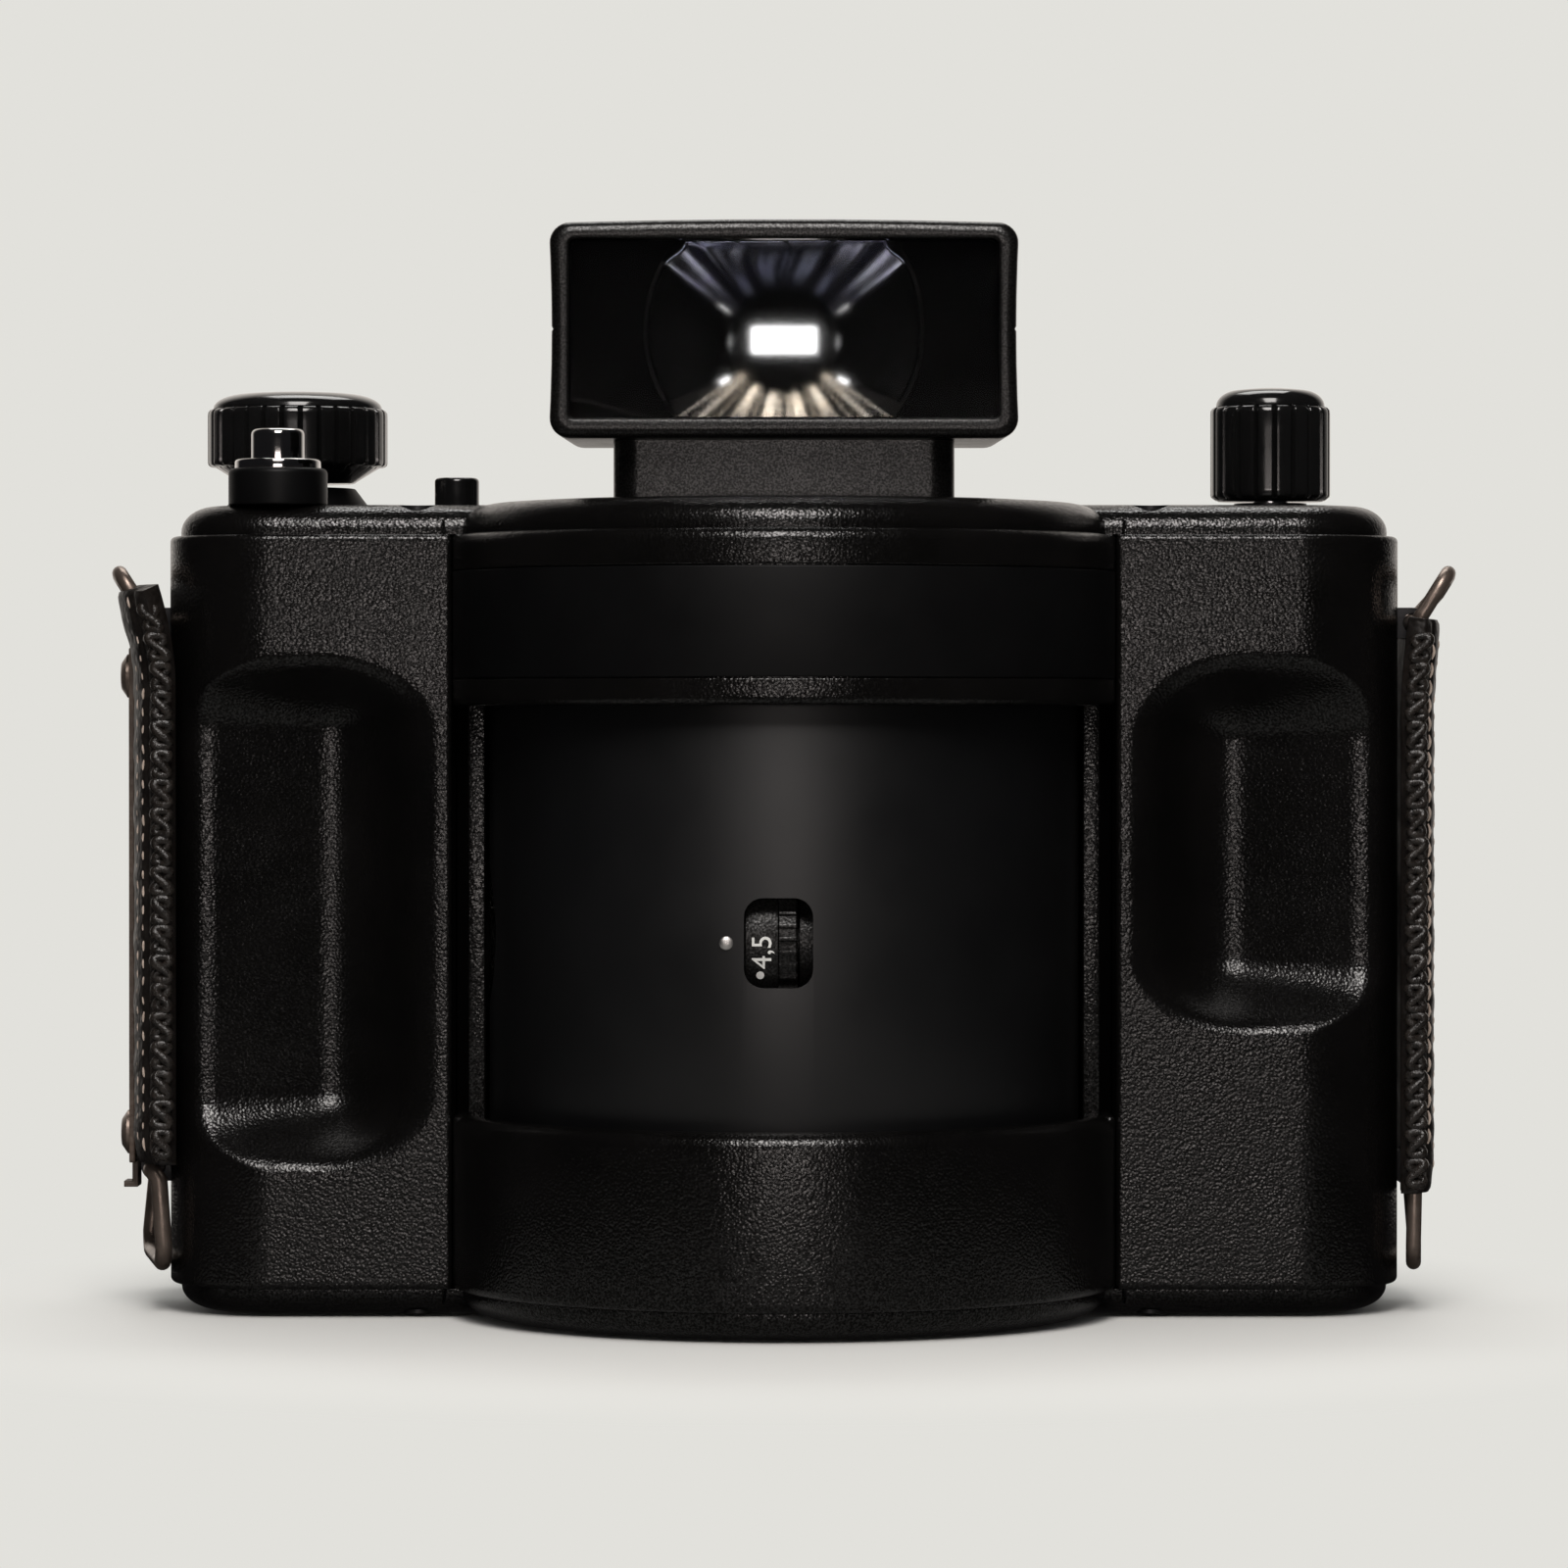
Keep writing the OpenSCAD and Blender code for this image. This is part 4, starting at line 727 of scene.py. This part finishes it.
wheel_parts = sideways(knurled_wheel(), WHEEL_X, WHEEL_Y, AXIS_Z)
wheel = build("number_wheel", wheel_parts, fine_grained, "iris_wheel")
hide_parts("aperture_wheel")


def on_wheel(part, x, shift):
    """Bend flat figures, read upward, onto the front of the number wheel."""
    verts, faces = part
    out = []
    for u, v, w in verts:
        a = (u + shift) / WHEEL_R
        r = WHEEL_R + 0.02 + w
        out.append((x - v, WHEEL_Y - r * math.cos(a), AXIS_Z + r * math.sin(a)))
    return out, faces


number = on_wheel(figure("4,5", 4.5, 0.05), -3.35, -1.5)
dot = on_wheel(lathe(oblong(0, 0.64, -0.05, 0.05), count=28), -3.75, -5.3)
marks = build("wheel_marks", [number, dot], white_paint, "iris_wheel")
PIN_X = -9.1
PIN_R = 1.1
pin_y = -math.sqrt(DRUM_R ** 2 - PIN_X ** 2)
dome = [(0, -2.6), (PIN_R, -2.6), (PIN_R, 0.15)]
for degrees in range(10, 90, 10):
    c, n = cos_sin(degrees)
    dome.append((PIN_R * c, 0.15 + 0.38 * n))
dome.append((0, 0.53))
pin_verts, pin_faces = lathe(dome, count=48)
pin_verts = [(PIN_X + x, pin_y - z, AXIS_Z + y) for x, y, z in pin_verts]
pin = build("pin_head", [(pin_verts, pin_faces)], pin_silver, "drum")
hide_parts("index_pin")

# Ribbed knobs


def ribbed_knob(name, centre, count, groove_w, groove_d, profile, material, body):
    """Knob from rows of (height, radius, groove share) with V grooves between flat ribs."""
    radius = max(r for z, r, w in profile)
    half = groove_w / 2 / radius
    pitch = 2 * math.pi / count
    local = [0, 0.35, 0.7, 1.0, 1.4]
    offsets = [half * t for t in local]
    offsets += [half * 1.4 + (pitch - 2.8 * half) * t for t in (0.2, 0.4, 0.6, 0.8)]
    offsets += [pitch - half * t for t in local[:0:-1]]
    sections = []
    for z, r, w in profile:
        loop = []
        for i in range(count):
            for t in offsets:
                near = min(t, pitch - t) / half
                drop = groove_d * max(0.0, 1 - near) + 0.06 * max(0.0, 1.4 - near)
                a = i * pitch + t
                rr = max(r - w * drop, 0.0)
                loop.append((centre[0] + rr * math.cos(a), centre[1] + rr * math.sin(a), z))
        sections.append(loop)
    return build(name, [loft(sections)], material, body, 50)


def knob_profile(low, rib_low, rib_top, crown, radius, foot, foot_in):
    """Rows of a knob from its foot over the ribs to its domed top."""
    rows = [(low, foot, 0.0), (low + 0.15, foot + 0.2, 0.0)]
    rows += [(rib_low - 0.25, foot_in, 0.0), (rib_low, foot_in + 0.35, 0.3)]
    for up, inset in ((0.1, 0.45), (0.35, 0.12), (0.7, 0.0)):
        rows.append((rib_low + up, radius - inset, 1.0))
    rows += [(float(z), radius, 1.0) for z in np.linspace(rib_low + 1.5, rib_top - 1.2, 6)]
    for up, inset, share in ((-0.6, 0.05, 1.0), (-0.2, 0.35, 1.0), (0.0, 0.75, 0.9), (0.05, 0.95, 0.2),
                             (0.1, 1.0, 0.0)):
        rows.append((rib_top + up, radius - inset, share))
    dome_r = radius - 0.95
    for k in range(11):
        c, n = cos_sin(9 * k)
        r = dome_r - 0.42 * dome_r * (1 - c) if k < 10 else dome_r * 0.58
        rows.append((rib_top + 0.12 + (crown - 0.5) * n, r, 0.0))
    for t in (0.45, 0.3, 0.15, 0.0):
        rows.append((rib_top + crown - 0.38 * (t / 0.58) ** 2, dome_r * t, 0.0))
    return rows


wind = ribbed_knob("wind_grip", WIND, 30, 0.9, 0.75,
                   knob_profile(138.0, 140.7, 150.6, 3.0, 15.3, 9.7, 13.6), gloss_black, "winder")
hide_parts("wind_knob")
supply = ribbed_knob("supply_grip", SUPPLY, 20, 0.9, 0.65,
                     knob_profile(134.9, 135.3, 151.0, 3.3, 10.2, 8.9, 9.3), gloss_black, "supply_turner")
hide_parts("supply_knob")

# Release, small button and bosses


def turned(name, node, outline, radii, centre, material, body):
    obj = build(name, [ring_lathe(fillet(outline, radii), centre)], material, body)
    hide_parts(node)


turned("release_seat", "release_collar",
       [(2.45, 133), (8.15, 133), (8.15, 139.1), (4.75, 139.1), (4.75, 135.8), (2.45, 135.8)],
       [0, 0.3, 0.9, 0.2, 0.1, 0.1], RELEASE, satin, "body")
rim_outline = fillet(oblong(4.75, 7.1, 138.9, 140.6), [0, 0.2, 0.55, 0.3])
release_rim = build("release_rim", [ring_lathe(rim_outline, RELEASE)], chrome, "body")
turned("release_cap", "shutter_button",
       [(1.6, 140.6), (2.4, 140.6), (2.4, 127), (0.4, 127), (0.4, 126.9), (2.4, 126.9), (2.4, 138.7),
        (4.4, 138.7), (4.4, 145.6), (1.6, 145.6)],
       [0, 0, 0, 0, 0, 0, 0, 0.2, 0.9, 0.4], RELEASE, chrome, "release")
turned("side_cap", "small_button",
       [(0.01, 129.7), (4.7, 129.7), (4.7, 130.5), (3.7, 130.5), (3.7, 137.9), (0.01, 137.9)],
       [0, 0.1, 0.1, 0.1, 0.7, 0], SMALL_BUTTON, gloss_black, "side_button")
turned("wind_foot", "wind_boss",
       [(5.05, 133), (12.9, 133), (9.8, 137.1), (5.05, 137.1)],
       [0, 0.2, 0.5, 0.2], WIND, satin, "body")
turned("supply_foot", "supply_boss", oblong(6.25, 8.7, 128, 133.6), [0, 0, 0.25, 0.15],
       SUPPLY, satin, "body")

# Viewfinder

MID_Z = FINDER_LOW + FINDER_H / 2
INNER_W = FINDER_W - 5.6
INNER_H = FINDER_H - 6.2
FRONT_EDGE = 1.6
BACK_EDGE = 1.8
EDGE_R = 3.4
BULGE = (0.5, 0.6)
PARTING = 0.22
EYE_W = 22.0
EYE_H = 15.0
EYE_Y = 11.0
EYE_RISE = 0.5
SIGHT_SLOPE = 0.058
TUNNEL_R = 22.6
TUNNEL_FRONT = -24.5
TUNNEL_BACK = 8.8
TUNNEL_HALF_H = 14.1
FOCAL = 2.95
ROOF_DEEP = 15.95
FLOOR_DEEP = 14.15
MASK_RAYS = 144
MASK_T = 0.5


def finder_section(w, h, radius, y, sag=0.0, bow=0.0, line=0.0):
    """Rounded rectangle across the finder, with bulged sides, a bowed top and a parting line."""
    span_w = w / 2 - radius
    span_h = h / 2 - radius
    pts = []
    for cx, cy, start in QUARTERS:
        pts += arc(cx * span_w, cy * span_h, radius, start, 90, 8)
        if start in (0, 180):
            pts += [(-cx * t * span_w, cy * h / 2) for t in (-0.6, -0.25, 0.25, 0.6)]
        else:
            for t in (-0.8, -0.4, -0.06, -0.03, 0.0, 0.03, 0.06, 0.4, 0.8):
                dip = line if t == 0 else 0.0
                pts.append((cx * (w / 2 - dip), -cy * t * span_h))
    out = []
    for u, v in pts:
        k = v / (h / 2)
        u2 = u + math.copysign(sag * (1 - k * k) - sag, u) * abs(u) / (w / 2)
        v2 = v + (bow * (1 - (2 * u / w) ** 2) - bow if v > 0 else 0.0) * max(0.0, k)
        out.append((u2, y, MID_Z + v2))
    return out


def finder_steps(w, h, y, steps):
    """Sections from steps of (growth, corner radius, distance from y)."""
    return [finder_section(w + grow, h + grow, radius, y + step) for grow, radius, step in steps]


finder_rows = finder_steps(INNER_W, INNER_H, FINDER_FRONT,
                           ((-0.2, 1.0, 3.5), (0.0, 1.0, 0.35), (0.3, 1.1, 0.08), (0.7, 1.2, 0.0)))
for k in range(7):
    c, n = cos_sin(15 * k)
    drop = FRONT_EDGE * (1 - n)
    y = FINDER_FRONT + FRONT_EDGE * (1 - c)
    finder_rows.append(finder_section(FINDER_W - 2 * drop, FINDER_H - 2 * drop, EDGE_R - 0.5 * drop, y,
                                      *BULGE, PARTING * n))
for t in np.linspace(0.0, 1.0, 8)[1:]:
    y = FINDER_FRONT + FRONT_EDGE + (FINDER_BACK - FINDER_FRONT - 3.4) * t
    finder_rows.append(finder_section(FINDER_W * (1 - 0.03 * t), FINDER_H * (1 - 0.012 * t), EDGE_R, y,
                                      *BULGE, PARTING))
for k in range(1, 7):
    c, n = cos_sin(15 * k)
    drop = BACK_EDGE * (1 - c)
    y = FINDER_BACK - BACK_EDGE + BACK_EDGE * n
    finder_rows.append(finder_section(FINDER_W * 0.97 - 2 * drop, FINDER_H * 0.988 - 2 * drop,
                                      EDGE_R - 0.5 * drop, y, *BULGE, PARTING * c))
finder_rows += finder_steps(EYE_W, EYE_H, FINDER_BACK,
                            ((2.4, 3.0, 0.0), (0.6, 2.3, -0.4), (0.0, 2.0, -1.4), (0.0, 2.0, -3.0)))
finder_rows.append(finder_section(INNER_W * 0.93, INNER_H * 0.95, 1.0, FINDER_BACK - 3.4))
finder = build("finder_body", [loft(finder_rows + finder_rows[:1], False, False)], finder_black, "body")
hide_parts("finder_lower_shell", "finder_upper_shell")
pane_rows = finder_steps(INNER_W, INNER_H, FINDER_FRONT,
                         ((-0.6, 0.9, 0.6), (-0.1, 1.0, 0.85), (-0.1, 1.0, 3.2)))
pane = build("finder_pane", [loft(pane_rows)], finder_glass, "body")
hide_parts("finder_front_lens")


def reflector(name, first, last, petals, gap, bulge, deep_y, slope, material):
    """Sector of a parabolic tunnel that narrows to the eyepiece, made of petals with gaps between them."""
    ys = np.linspace(TUNNEL_FRONT, TUNNEL_BACK, 26)
    steps = 24
    pitch = (last - first) / petals
    parts = []
    for petal in range(petals):
        verts = []
        for y in ys:
            r0 = math.sqrt(4 * FOCAL * (deep_y - y))
            drop = slope * (y - EYE_Y)
            for k in range(steps + 1):
                t = k / steps
                c, n = cos_sin(first + pitch * (petal + gap / 2 + (1 - gap) * t))
                r = r0 * (1 - bulge * math.sin(math.pi * t) ** 2)
                z = max(-TUNNEL_HALF_H, min(TUNNEL_HALF_H, drop + r * n))
                verts.append((r * c, y, MID_Z + z))
        parts.append((verts, grid_faces(len(ys), steps + 1)))
    obj = build(name, parts, material, "body", 60, closed=False)
    thicken(obj, 0.25, 0.0)


reflector("finder_roof", 28, 152, 6, 0.08, 0.043, ROOF_DEEP, 0.0, cool_mirror)
reflector("finder_floor", 212, 328, 6, 0.24, 0.035, FLOOR_DEEP, SIGHT_SLOPE, warm_mirror)
reflector("finder_right", -32, 28, 1, 0.0, 0.0, ROOF_DEEP, 0.0, black_and_painted_shade)
reflector("finder_left", 152, 212, 1, 0.0, 0.0, ROOF_DEEP, 0.0, black_and_painted_shade)


def box_reach(c, n, half_w, half_h):
    """Distance from the middle of a rectangle to its edge along a direction."""
    return min(half_w / max(abs(c), 1e-6), half_h / max(abs(n), 1e-6))


def mask_plate(y, half_w, half_h, rise, hole=None):
    """Plate across the finder with a round opening, or one of the half sizes given."""
    rim = []
    mouth = []
    for c, n in circle(MASK_RAYS, 0.5):
        reach = box_reach(c, n, half_w, half_h)
        inner = box_reach(c, n, *hole) if hole else min(TUNNEL_R, reach - 0.15)
        rim.append((reach * c, reach * n))
        mouth.append((inner * c, inner * n))
    loops = []
    for line, dy in ((rim, 0), (mouth, 0), (mouth, MASK_T), (rim, MASK_T), (rim, 0)):
        loops.append([(u, y + dy, MID_Z + v + rise) for u, v in line])
    return loft(loops, False, False)


front_mask = mask_plate(-25.0, INNER_W / 2 - 0.1, INNER_H / 2 - 0.1, 0.0)
eye_mask = mask_plate(EYE_Y, 9.0, 9.0, EYE_RISE, (5.5, 2.3))
mask = build("finder_mask", [front_mask, eye_mask], black_and_painted_shade, "body")
neck_outline = [(u, v - 7.0) for u, v in rounded_rect(55.2, 30, 4.2, 10)]
neck_loops = [[(u, v, z) for u, v in neck_outline] for z in (132.6, 142.9)]
neck = build("finder_foot", [loft(neck_loops)], finder_black, "body")
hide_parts("finder_neck")

# Wire rings


def wire_loop(length):
    """Closed path of (y, t) for a ring that hangs from its hinge bar at t 0."""
    half = RING_W / 2
    free_r = 3.2
    hinge_r = 1.6
    pts = []
    for cy, ct, start, r in ((half, length, 0, free_r), (-half, length, 90, free_r),
                             (-half, 0, 180, hinge_r), (half, 0, 270, hinge_r)):
        middle = cy - math.copysign(r, cy)
        level = ct - r if ct > 0 else ct + r
        pts += [(y + RING_Y + half, t) for y, t in arc(middle, level, r, start, 90, 7)]
    return pts


def wire_ring(name, node, side, hinge_z, length, tilt, body, twist, pivot, radius):
    path = []
    for y, t in wire_loop(length):
        bent = twist * ((y - RING_Y) / RING_W - pivot) * min(1.0, max(t, 0.0) / 2.5)
        path.append((side * (RING_X + t * math.sin(tilt) + bent), y, hinge_z + t * math.cos(tilt)))
    obj = build(name, [tube(path, radius, 16, True)], ring_metal, body)
    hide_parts(node)


UP_RING = (RING_UP_Z, 9.5, math.radians(32))
LOW_RING = (RING_LOW_Z, 15.5, math.pi)
wire_ring("ring_lu", "left_upper_ring", -1, *UP_RING, "ring_left_up", 3.0, 0.0, 1.25)
wire_ring("ring_ru", "right_upper_ring", 1, *UP_RING, "ring_right_up", 3.0, 0.0, 1.25)
wire_ring("ring_ll", "left_lower_ring", -1, *LOW_RING, "ring_left_low", 5.0, 0.42, 1.4)
wire_ring("ring_rl", "right_lower_ring", 1, *LOW_RING, "ring_right_low", 3.0, 0.2, 1.25)

# Hand straps


def strap_line(wrap):
    """Middle line of a pad round the grip corner: x, y and outward normal."""
    r = BEND_R + 0.8 + 2.5
    line = []
    for a in np.linspace(-wrap, 0, 26):
        c, n = cos_sin(a)
        line.append((BEND_X + r * c, BEND_Y + r * n, c, n))
    for y in np.linspace(BEND_Y, 35.0, 30)[1:]:
        line.append((HALF_W + 3.3, float(y), 1.0, 0.0))
    return np.array(line)


FLARE_SPAN = 16.0


def flare_at(z, high, flare):
    """Outward bend of a pad's upper end and its slope."""
    t = max(0.0, (z - (high - FLARE_SPAN)) / FLARE_SPAN)
    return flare * t ** 1.8, 1.8 * flare / FLARE_SPAN * t ** 0.8


def strap_pad(name, node, pad, wrap):
    side, low, flare = pad
    line = strap_line(wrap)
    high = low + PAD_H
    dist = np.concatenate([[0], np.cumsum(np.hypot(np.diff(line[:, 0]), np.diff(line[:, 1])))])
    heights = np.linspace(low, high, 150)
    outer = []
    inner = []
    for z in heights:
        bend, slope = flare_at(z, high, flare)
        for i, (x, y, nx, ny) in enumerate(line):
            d = min(dist[i], dist[-1] - dist[i])
            e = min(d, z - low, high - z)
            half = 1.5 + 0.95 * min(1.0, max(e, 0.0) / 4.0) ** 0.5
            seam = 0.5 * math.exp(-((d - 3.0) / 0.7) ** 2)
            wave = 0.12 * math.sin(z * 0.9 + 0.7 * i * 0.2) * math.sin(0.31 * z + 1.3)
            puff = half - seam + wave + bend
            back = half * 0.95 - bend
            outer.append((side * (x + nx * puff), y + ny * puff, z - slope * half))
            inner.append((side * (x - nx * back), y - ny * back, z + slope * half))
    rows = len(heights)
    cols = len(line)
    size = rows * cols
    faces = grid_faces(rows, cols)
    faces += [tuple(size + i for i in f[::-1]) for f in faces]
    edge = list(range(cols))
    edge += [i * cols + cols - 1 for i in range(1, rows)]
    edge += [(rows - 1) * cols + j for j in range(cols - 2, -1, -1)]
    edge += [i * cols for i in range(rows - 2, 0, -1)]
    for a, b in zip(edge, edge[1:] + edge[:1]):
        faces.append((a, b, size + b, size + a))
    obj = build(name, [(outer + inner, faces)], leather, "body", 60)
    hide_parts(node)


def lacing(name, pad, x, y):
    """Cord knotted in figures of eight along the pad's front edge, with two short tucks below each knot."""
    side, low, flare = pad
    high = low + PAD_H
    pitch = 4.78
    steps = 40
    tuck_z = -2.35
    tuck_u = 0.9
    parts = []
    for i in range(int((PAD_H - 1.5) / pitch)):
        zc = low + 1.2 + pitch * (i + 0.5)
        swing = 0.12 * math.sin(2.4 * i + side)
        path = []
        thick = []
        for k in range(steps):
            t = 2 * math.pi * k / steps
            z = zc + 1.95 * math.sin(t)
            u = (1.15 + swing) * math.sin(2 * t)
            lift = 0.35 * math.cos(t) + 0.3
            bend = flare_at(z, high, flare)[0]
            path.append((side * (x + u + bend), y - lift, z))
            thick.append(0.8 + 0.1 * math.sin(6 * math.pi * k / steps + i))
        parts.append(tube(path, thick, 10, True))
        bend = flare_at(zc + tuck_z, high, flare)[0]
        for u in (-tuck_u, tuck_u):
            path = []
            for t in (k / 8 for k in range(9)):
                lift = 0.35 * math.sin(math.pi * t)
                z = zc + tuck_z + 0.8 * (t - 0.5)
                path.append((side * (x + bend + u * (1 - 0.9 * t)), y - 0.25 - lift, z))
            parts.append(tube(path, 0.34, 8))
    obj = build(name, parts, lace, "body", 60)


def stitching(name, pad, angles):
    """Two lines of running stitch on the pad's outer face, with gaps where the rings lie on it."""
    side, low, flare = pad
    high = low + PAD_H
    pitch = 2.95
    half = 1.2
    parts = []
    for row, degrees in enumerate(angles):
        c, n = cos_sin(degrees)
        z = low + 2.2 + 1.2 * row
        count = 0
        while z + 2 * half < high - 0.8:
            middle = z + half
            z += pitch
            off_hinge = min(abs(middle - RING_LOW_Z), abs(middle - RING_UP_Z))
            if degrees == RING_ROW and off_hinge < RING_ROOM:
                continue
            path = []
            thick = []
            for i in range(9):
                t = i / 8
                zz = middle - half + 2.5 * t
                bend = flare_at(zz, high, flare)[0]
                r = BEND_R + 5.32 + bend + 0.32 * math.sin(math.pi * t)
                skew = 0.18 * (t - 0.5) * (1 if count % 2 else -1)
                path.append((side * (BEND_X + r * c - n * skew), BEND_Y - r * n - c * skew, zz))
                thick.append(0.13 + 0.12 * math.sin(math.pi * i / 8))
            parts.append(tube(path, thick, 8))
            count += 1
    obj = build(name, parts, thread, "body", 60)


strap_pad("pad_left", "left_strap_pad", LEFT_PAD, 40)
strap_pad("pad_right", "right_strap_pad", RIGHT_PAD, 30)
lacing("lacing_left", LEFT_PAD, 101.8, -7.9)
lacing("lacing_right", RIGHT_PAD, 103.7, -5.4)
stitching("stitches_left", LEFT_PAD, (27, 19))
stitching("stitches_right", RIGHT_PAD, (19, 9))

# Carried-over solids


def dress(names, material, edge=0.0):
    for name in names.split():
        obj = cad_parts[name]
        obj.data.materials.clear()
        obj.data.materials.append(material)
        if "custom_normal" in obj.data.attributes:
            obj.data.attributes.remove(obj.data.attributes["custom_normal"])
        weld = obj.modifiers.new("weld", "WELD")
        weld.merge_threshold = 0.000002
        obj.data.shade_smooth()
        if edge > 0:
            soften(obj, edge)
        else:
            split = obj.modifiers.new("sharp", "EDGE_SPLIT")
            split.split_angle = math.radians(EDGE_ANGLE)


dress("back_door", grained, 0.6)
dress("door_latch battery_cap", satin, 0.25)
dress("drum_plates lens_barrel film_gate pressure_plate left_spool_chamber right_spool_chamber", matte)
dress("upper_deck lower_deck left_guide_roller right_guide_roller", aluminium)
dress("wind_shaft supply_spindle drive_motor tripod_socket", steel)
dress("supply_sleeve door_hinge cover_screws strap_lugs", dark_steel)
dress("drum_bearings drum_gear motor_pinion aperture_ring", brass)
dress("strap_rivets", ring_metal, 0.4)
dress("left_strap_belt", belt_leather, 0.3)
dress("lens_elements", lens_glass)
dress("finder_eyepiece", eye_glass)
dress("circuit_board", board_green)
dress("battery_holder", inner_plastic)
dress("take_up_spool", spool_plastic)
dress("counter_dial", dial_white)
dress("speed_dial", gloss_black)

# Stage, light and camera

PALE = (0.761, 0.753, 0.716)
FLOOR_HALF = 6.0
FLOOR_Z = -0.0003
SENSOR_W = 36.0
FOCAL_PX = 6531.0
PHOTO_PX = 1600.0
CAMERA_PLACE = (0.0, -1.055, 0.0974)
CAMERA_TARGET = (0.0, -0.01, 0.0872)
WARM_WHITE = (1.0, 0.985, 0.96)


def glow(tree, colour):
    return add(tree, "Emission", {"Color": (*colour, 1.0)}).outputs["Emission"]


def axes_of(tree, where):
    node = add(tree, "SeparateXYZ")
    tree.links.new(where, node.inputs["Vector"])
    return node.outputs


def make_floor():
    """Pale floor that melts into the background, and looks dark in front of the part when mirrored in it."""
    mesh = bpy.data.meshes.new("floor")
    r = FLOOR_HALF
    corners = ((-r, -r), (r, -r), (r, r), (-r, r))
    mesh.from_pydata([(x, y, FLOOR_Z) for x, y in corners], [], [(0, 1, 2, 3)])
    floor = linked("floor", mesh)
    mat, tree, shader = principled("floor_pale")
    set_inputs(shader, {"Base Color": (0.78, 0.785, 0.765, 1.0), "Roughness": 0.8,
                        "Specular IOR Level": 0.1})
    lit = shader.outputs["BSDF"]
    path = add(tree, "LightPath").outputs
    where = add(tree, "TexCoord").outputs["Object"]
    far = add(tree, "VectorMath")
    far.operation = "LENGTH"
    tree.links.new(where, far.inputs[0])
    axes = axes_of(tree, where)
    y = axes["Y"]
    aside = compute(tree, "ABSOLUTE", axes["X"])

    # Seen directly, or through glass from the front
    away = smooth_step(tree, far.outputs["Value"], 0.09, 0.17)
    through = compute(tree, "MULTIPLY", path["Is Transmission Ray"], smooth_step(tree, y, -0.1, 0.0))
    seen = compute(tree, "MAXIMUM", path["Is Camera Ray"], through)
    direct = blend(tree, compute(tree, "MULTIPLY", seen, away), lit, glow(tree, PALE))

    # Seen in a reflection: painted reflection, mostly a dark glow ahead of the part with a little of the lit
    # floor, and a pale glow behind it
    narrow = smooth_step(tree, aside, 0.2, 0.1)
    ahead = compute(tree, "MULTIPLY", narrow, smooth_step(tree, y, 0.0, -0.02))
    ahead = compute(tree, "MULTIPLY", ahead, smooth_step(tree, y, -0.3, -0.1))
    front = blend(tree, compute(tree, "MULTIPLY", ahead, 0.28), glow(tree, (0.012, 0.011, 0.011)), lit)
    behind = compute(tree, "MULTIPLY_ADD", aside, -0.9, y)
    mirrored = blend(tree, smooth_step(tree, behind, 0.03, 0.25), front, glow(tree, (0.82, 0.76, 0.7)))

    final = blend(tree, path["Is Glossy Ray"], direct, mirrored)
    tree.links.new(final, tree.nodes["Material Output"].inputs["Surface"])
    mesh.materials.append(mat)


def sky(tree, y, low, high, front, back, strength=1.0):
    """Background that goes from one colour to another along Y."""
    tone = add(tree, "Mix")
    tone.data_type = "RGBA"
    set_inputs(tone, {"A": (*front, 1.0), "B": (*back, 1.0)})
    tree.links.new(smooth_step(tree, y, low, high), tone.inputs["Factor"])
    node = add(tree, "Background", {"Strength": strength})
    tree.links.new(tone.outputs["Result"], node.inputs["Color"])
    return node.outputs["Background"]


def make_world():
    """Dim even light, with a pale ground for the camera and a brighter back for reflections and glass."""
    world = bpy.data.worlds.new("studio")
    SCENE.world = world
    world.use_nodes = True
    tree = world.node_tree
    plain = tree.nodes["Background"]
    set_inputs(plain, {"Color": (0.92, 0.91, 0.9, 1.0), "Strength": 0.16})
    y = axes_of(tree, add(tree, "TexCoord").outputs["Generated"])["Y"]
    shine = sky(tree, y, 0.5, 0.95, (0.009, 0.009, 0.01), (0.86, 0.8, 0.74))
    through = sky(tree, y, -0.1, 0.1, (0.01, 0.01, 0.01), (1.0, 0.97, 0.93), 2.2)
    pale = add(tree, "Background", {"Color": (*PALE, 1.0)}).outputs["Background"]
    path = add(tree, "LightPath").outputs
    final = blend(tree, path["Is Glossy Ray"], plain.outputs["Background"], shine)
    final = blend(tree, path["Is Transmission Ray"], final, through)
    final = blend(tree, path["Is Camera Ray"], final, pale)
    tree.links.new(final, tree.nodes["World Output"].inputs["Surface"])


def put(name, data, place, target):
    """Light or camera at a place, aimed at a target."""
    obj = linked(name, data)
    obj.location = place
    obj.rotation_euler = (Vector(target) - Vector(place)).to_track_quat("-Z", "Y").to_euler()
    return obj


def softbox(name, place, target, width, height, power, colour):
    light = bpy.data.lights.new(name, "AREA")
    light.shape = "RECTANGLE"
    light.size = width
    light.size_y = height
    light.energy = power
    light.color = colour
    return put(name, light, place, target)


make_floor()
make_world()
overhead = softbox("overhead", (0.0, 0.1, 1.3), (0.0, 0.1, 0.0), 1.6, 1.3, 7.0, WARM_WHITE)
overhead.visible_glossy = False
softbox("front_top", (0.0, -0.92, 1.0), (0.0, 0.0, 0.08), 0.5, 0.8, 13.0, (1.0, 0.955, 0.925))
softbox("back_top", (0.0, 0.66, 1.2), (0.0, 0.0, 0.08), 0.7, 0.5, 4.5, WARM_WHITE)
softbox("front_fill", (0.0, -1.28, 0.108), (0.0, 0.0, 0.09), 0.5, 0.14, 1.1, (1.0, 0.91, 0.87))
cam = bpy.data.cameras.new("camera")
cam.sensor_width = SENSOR_W
cam.lens = FOCAL_PX / PHOTO_PX * SENSOR_W
cam.clip_start = 0.05
cam.clip_end = 50.0
SCENE.camera = put("camera", cam, CAMERA_PLACE, CAMERA_TARGET)

SCENE.view_settings.view_transform = "Standard"
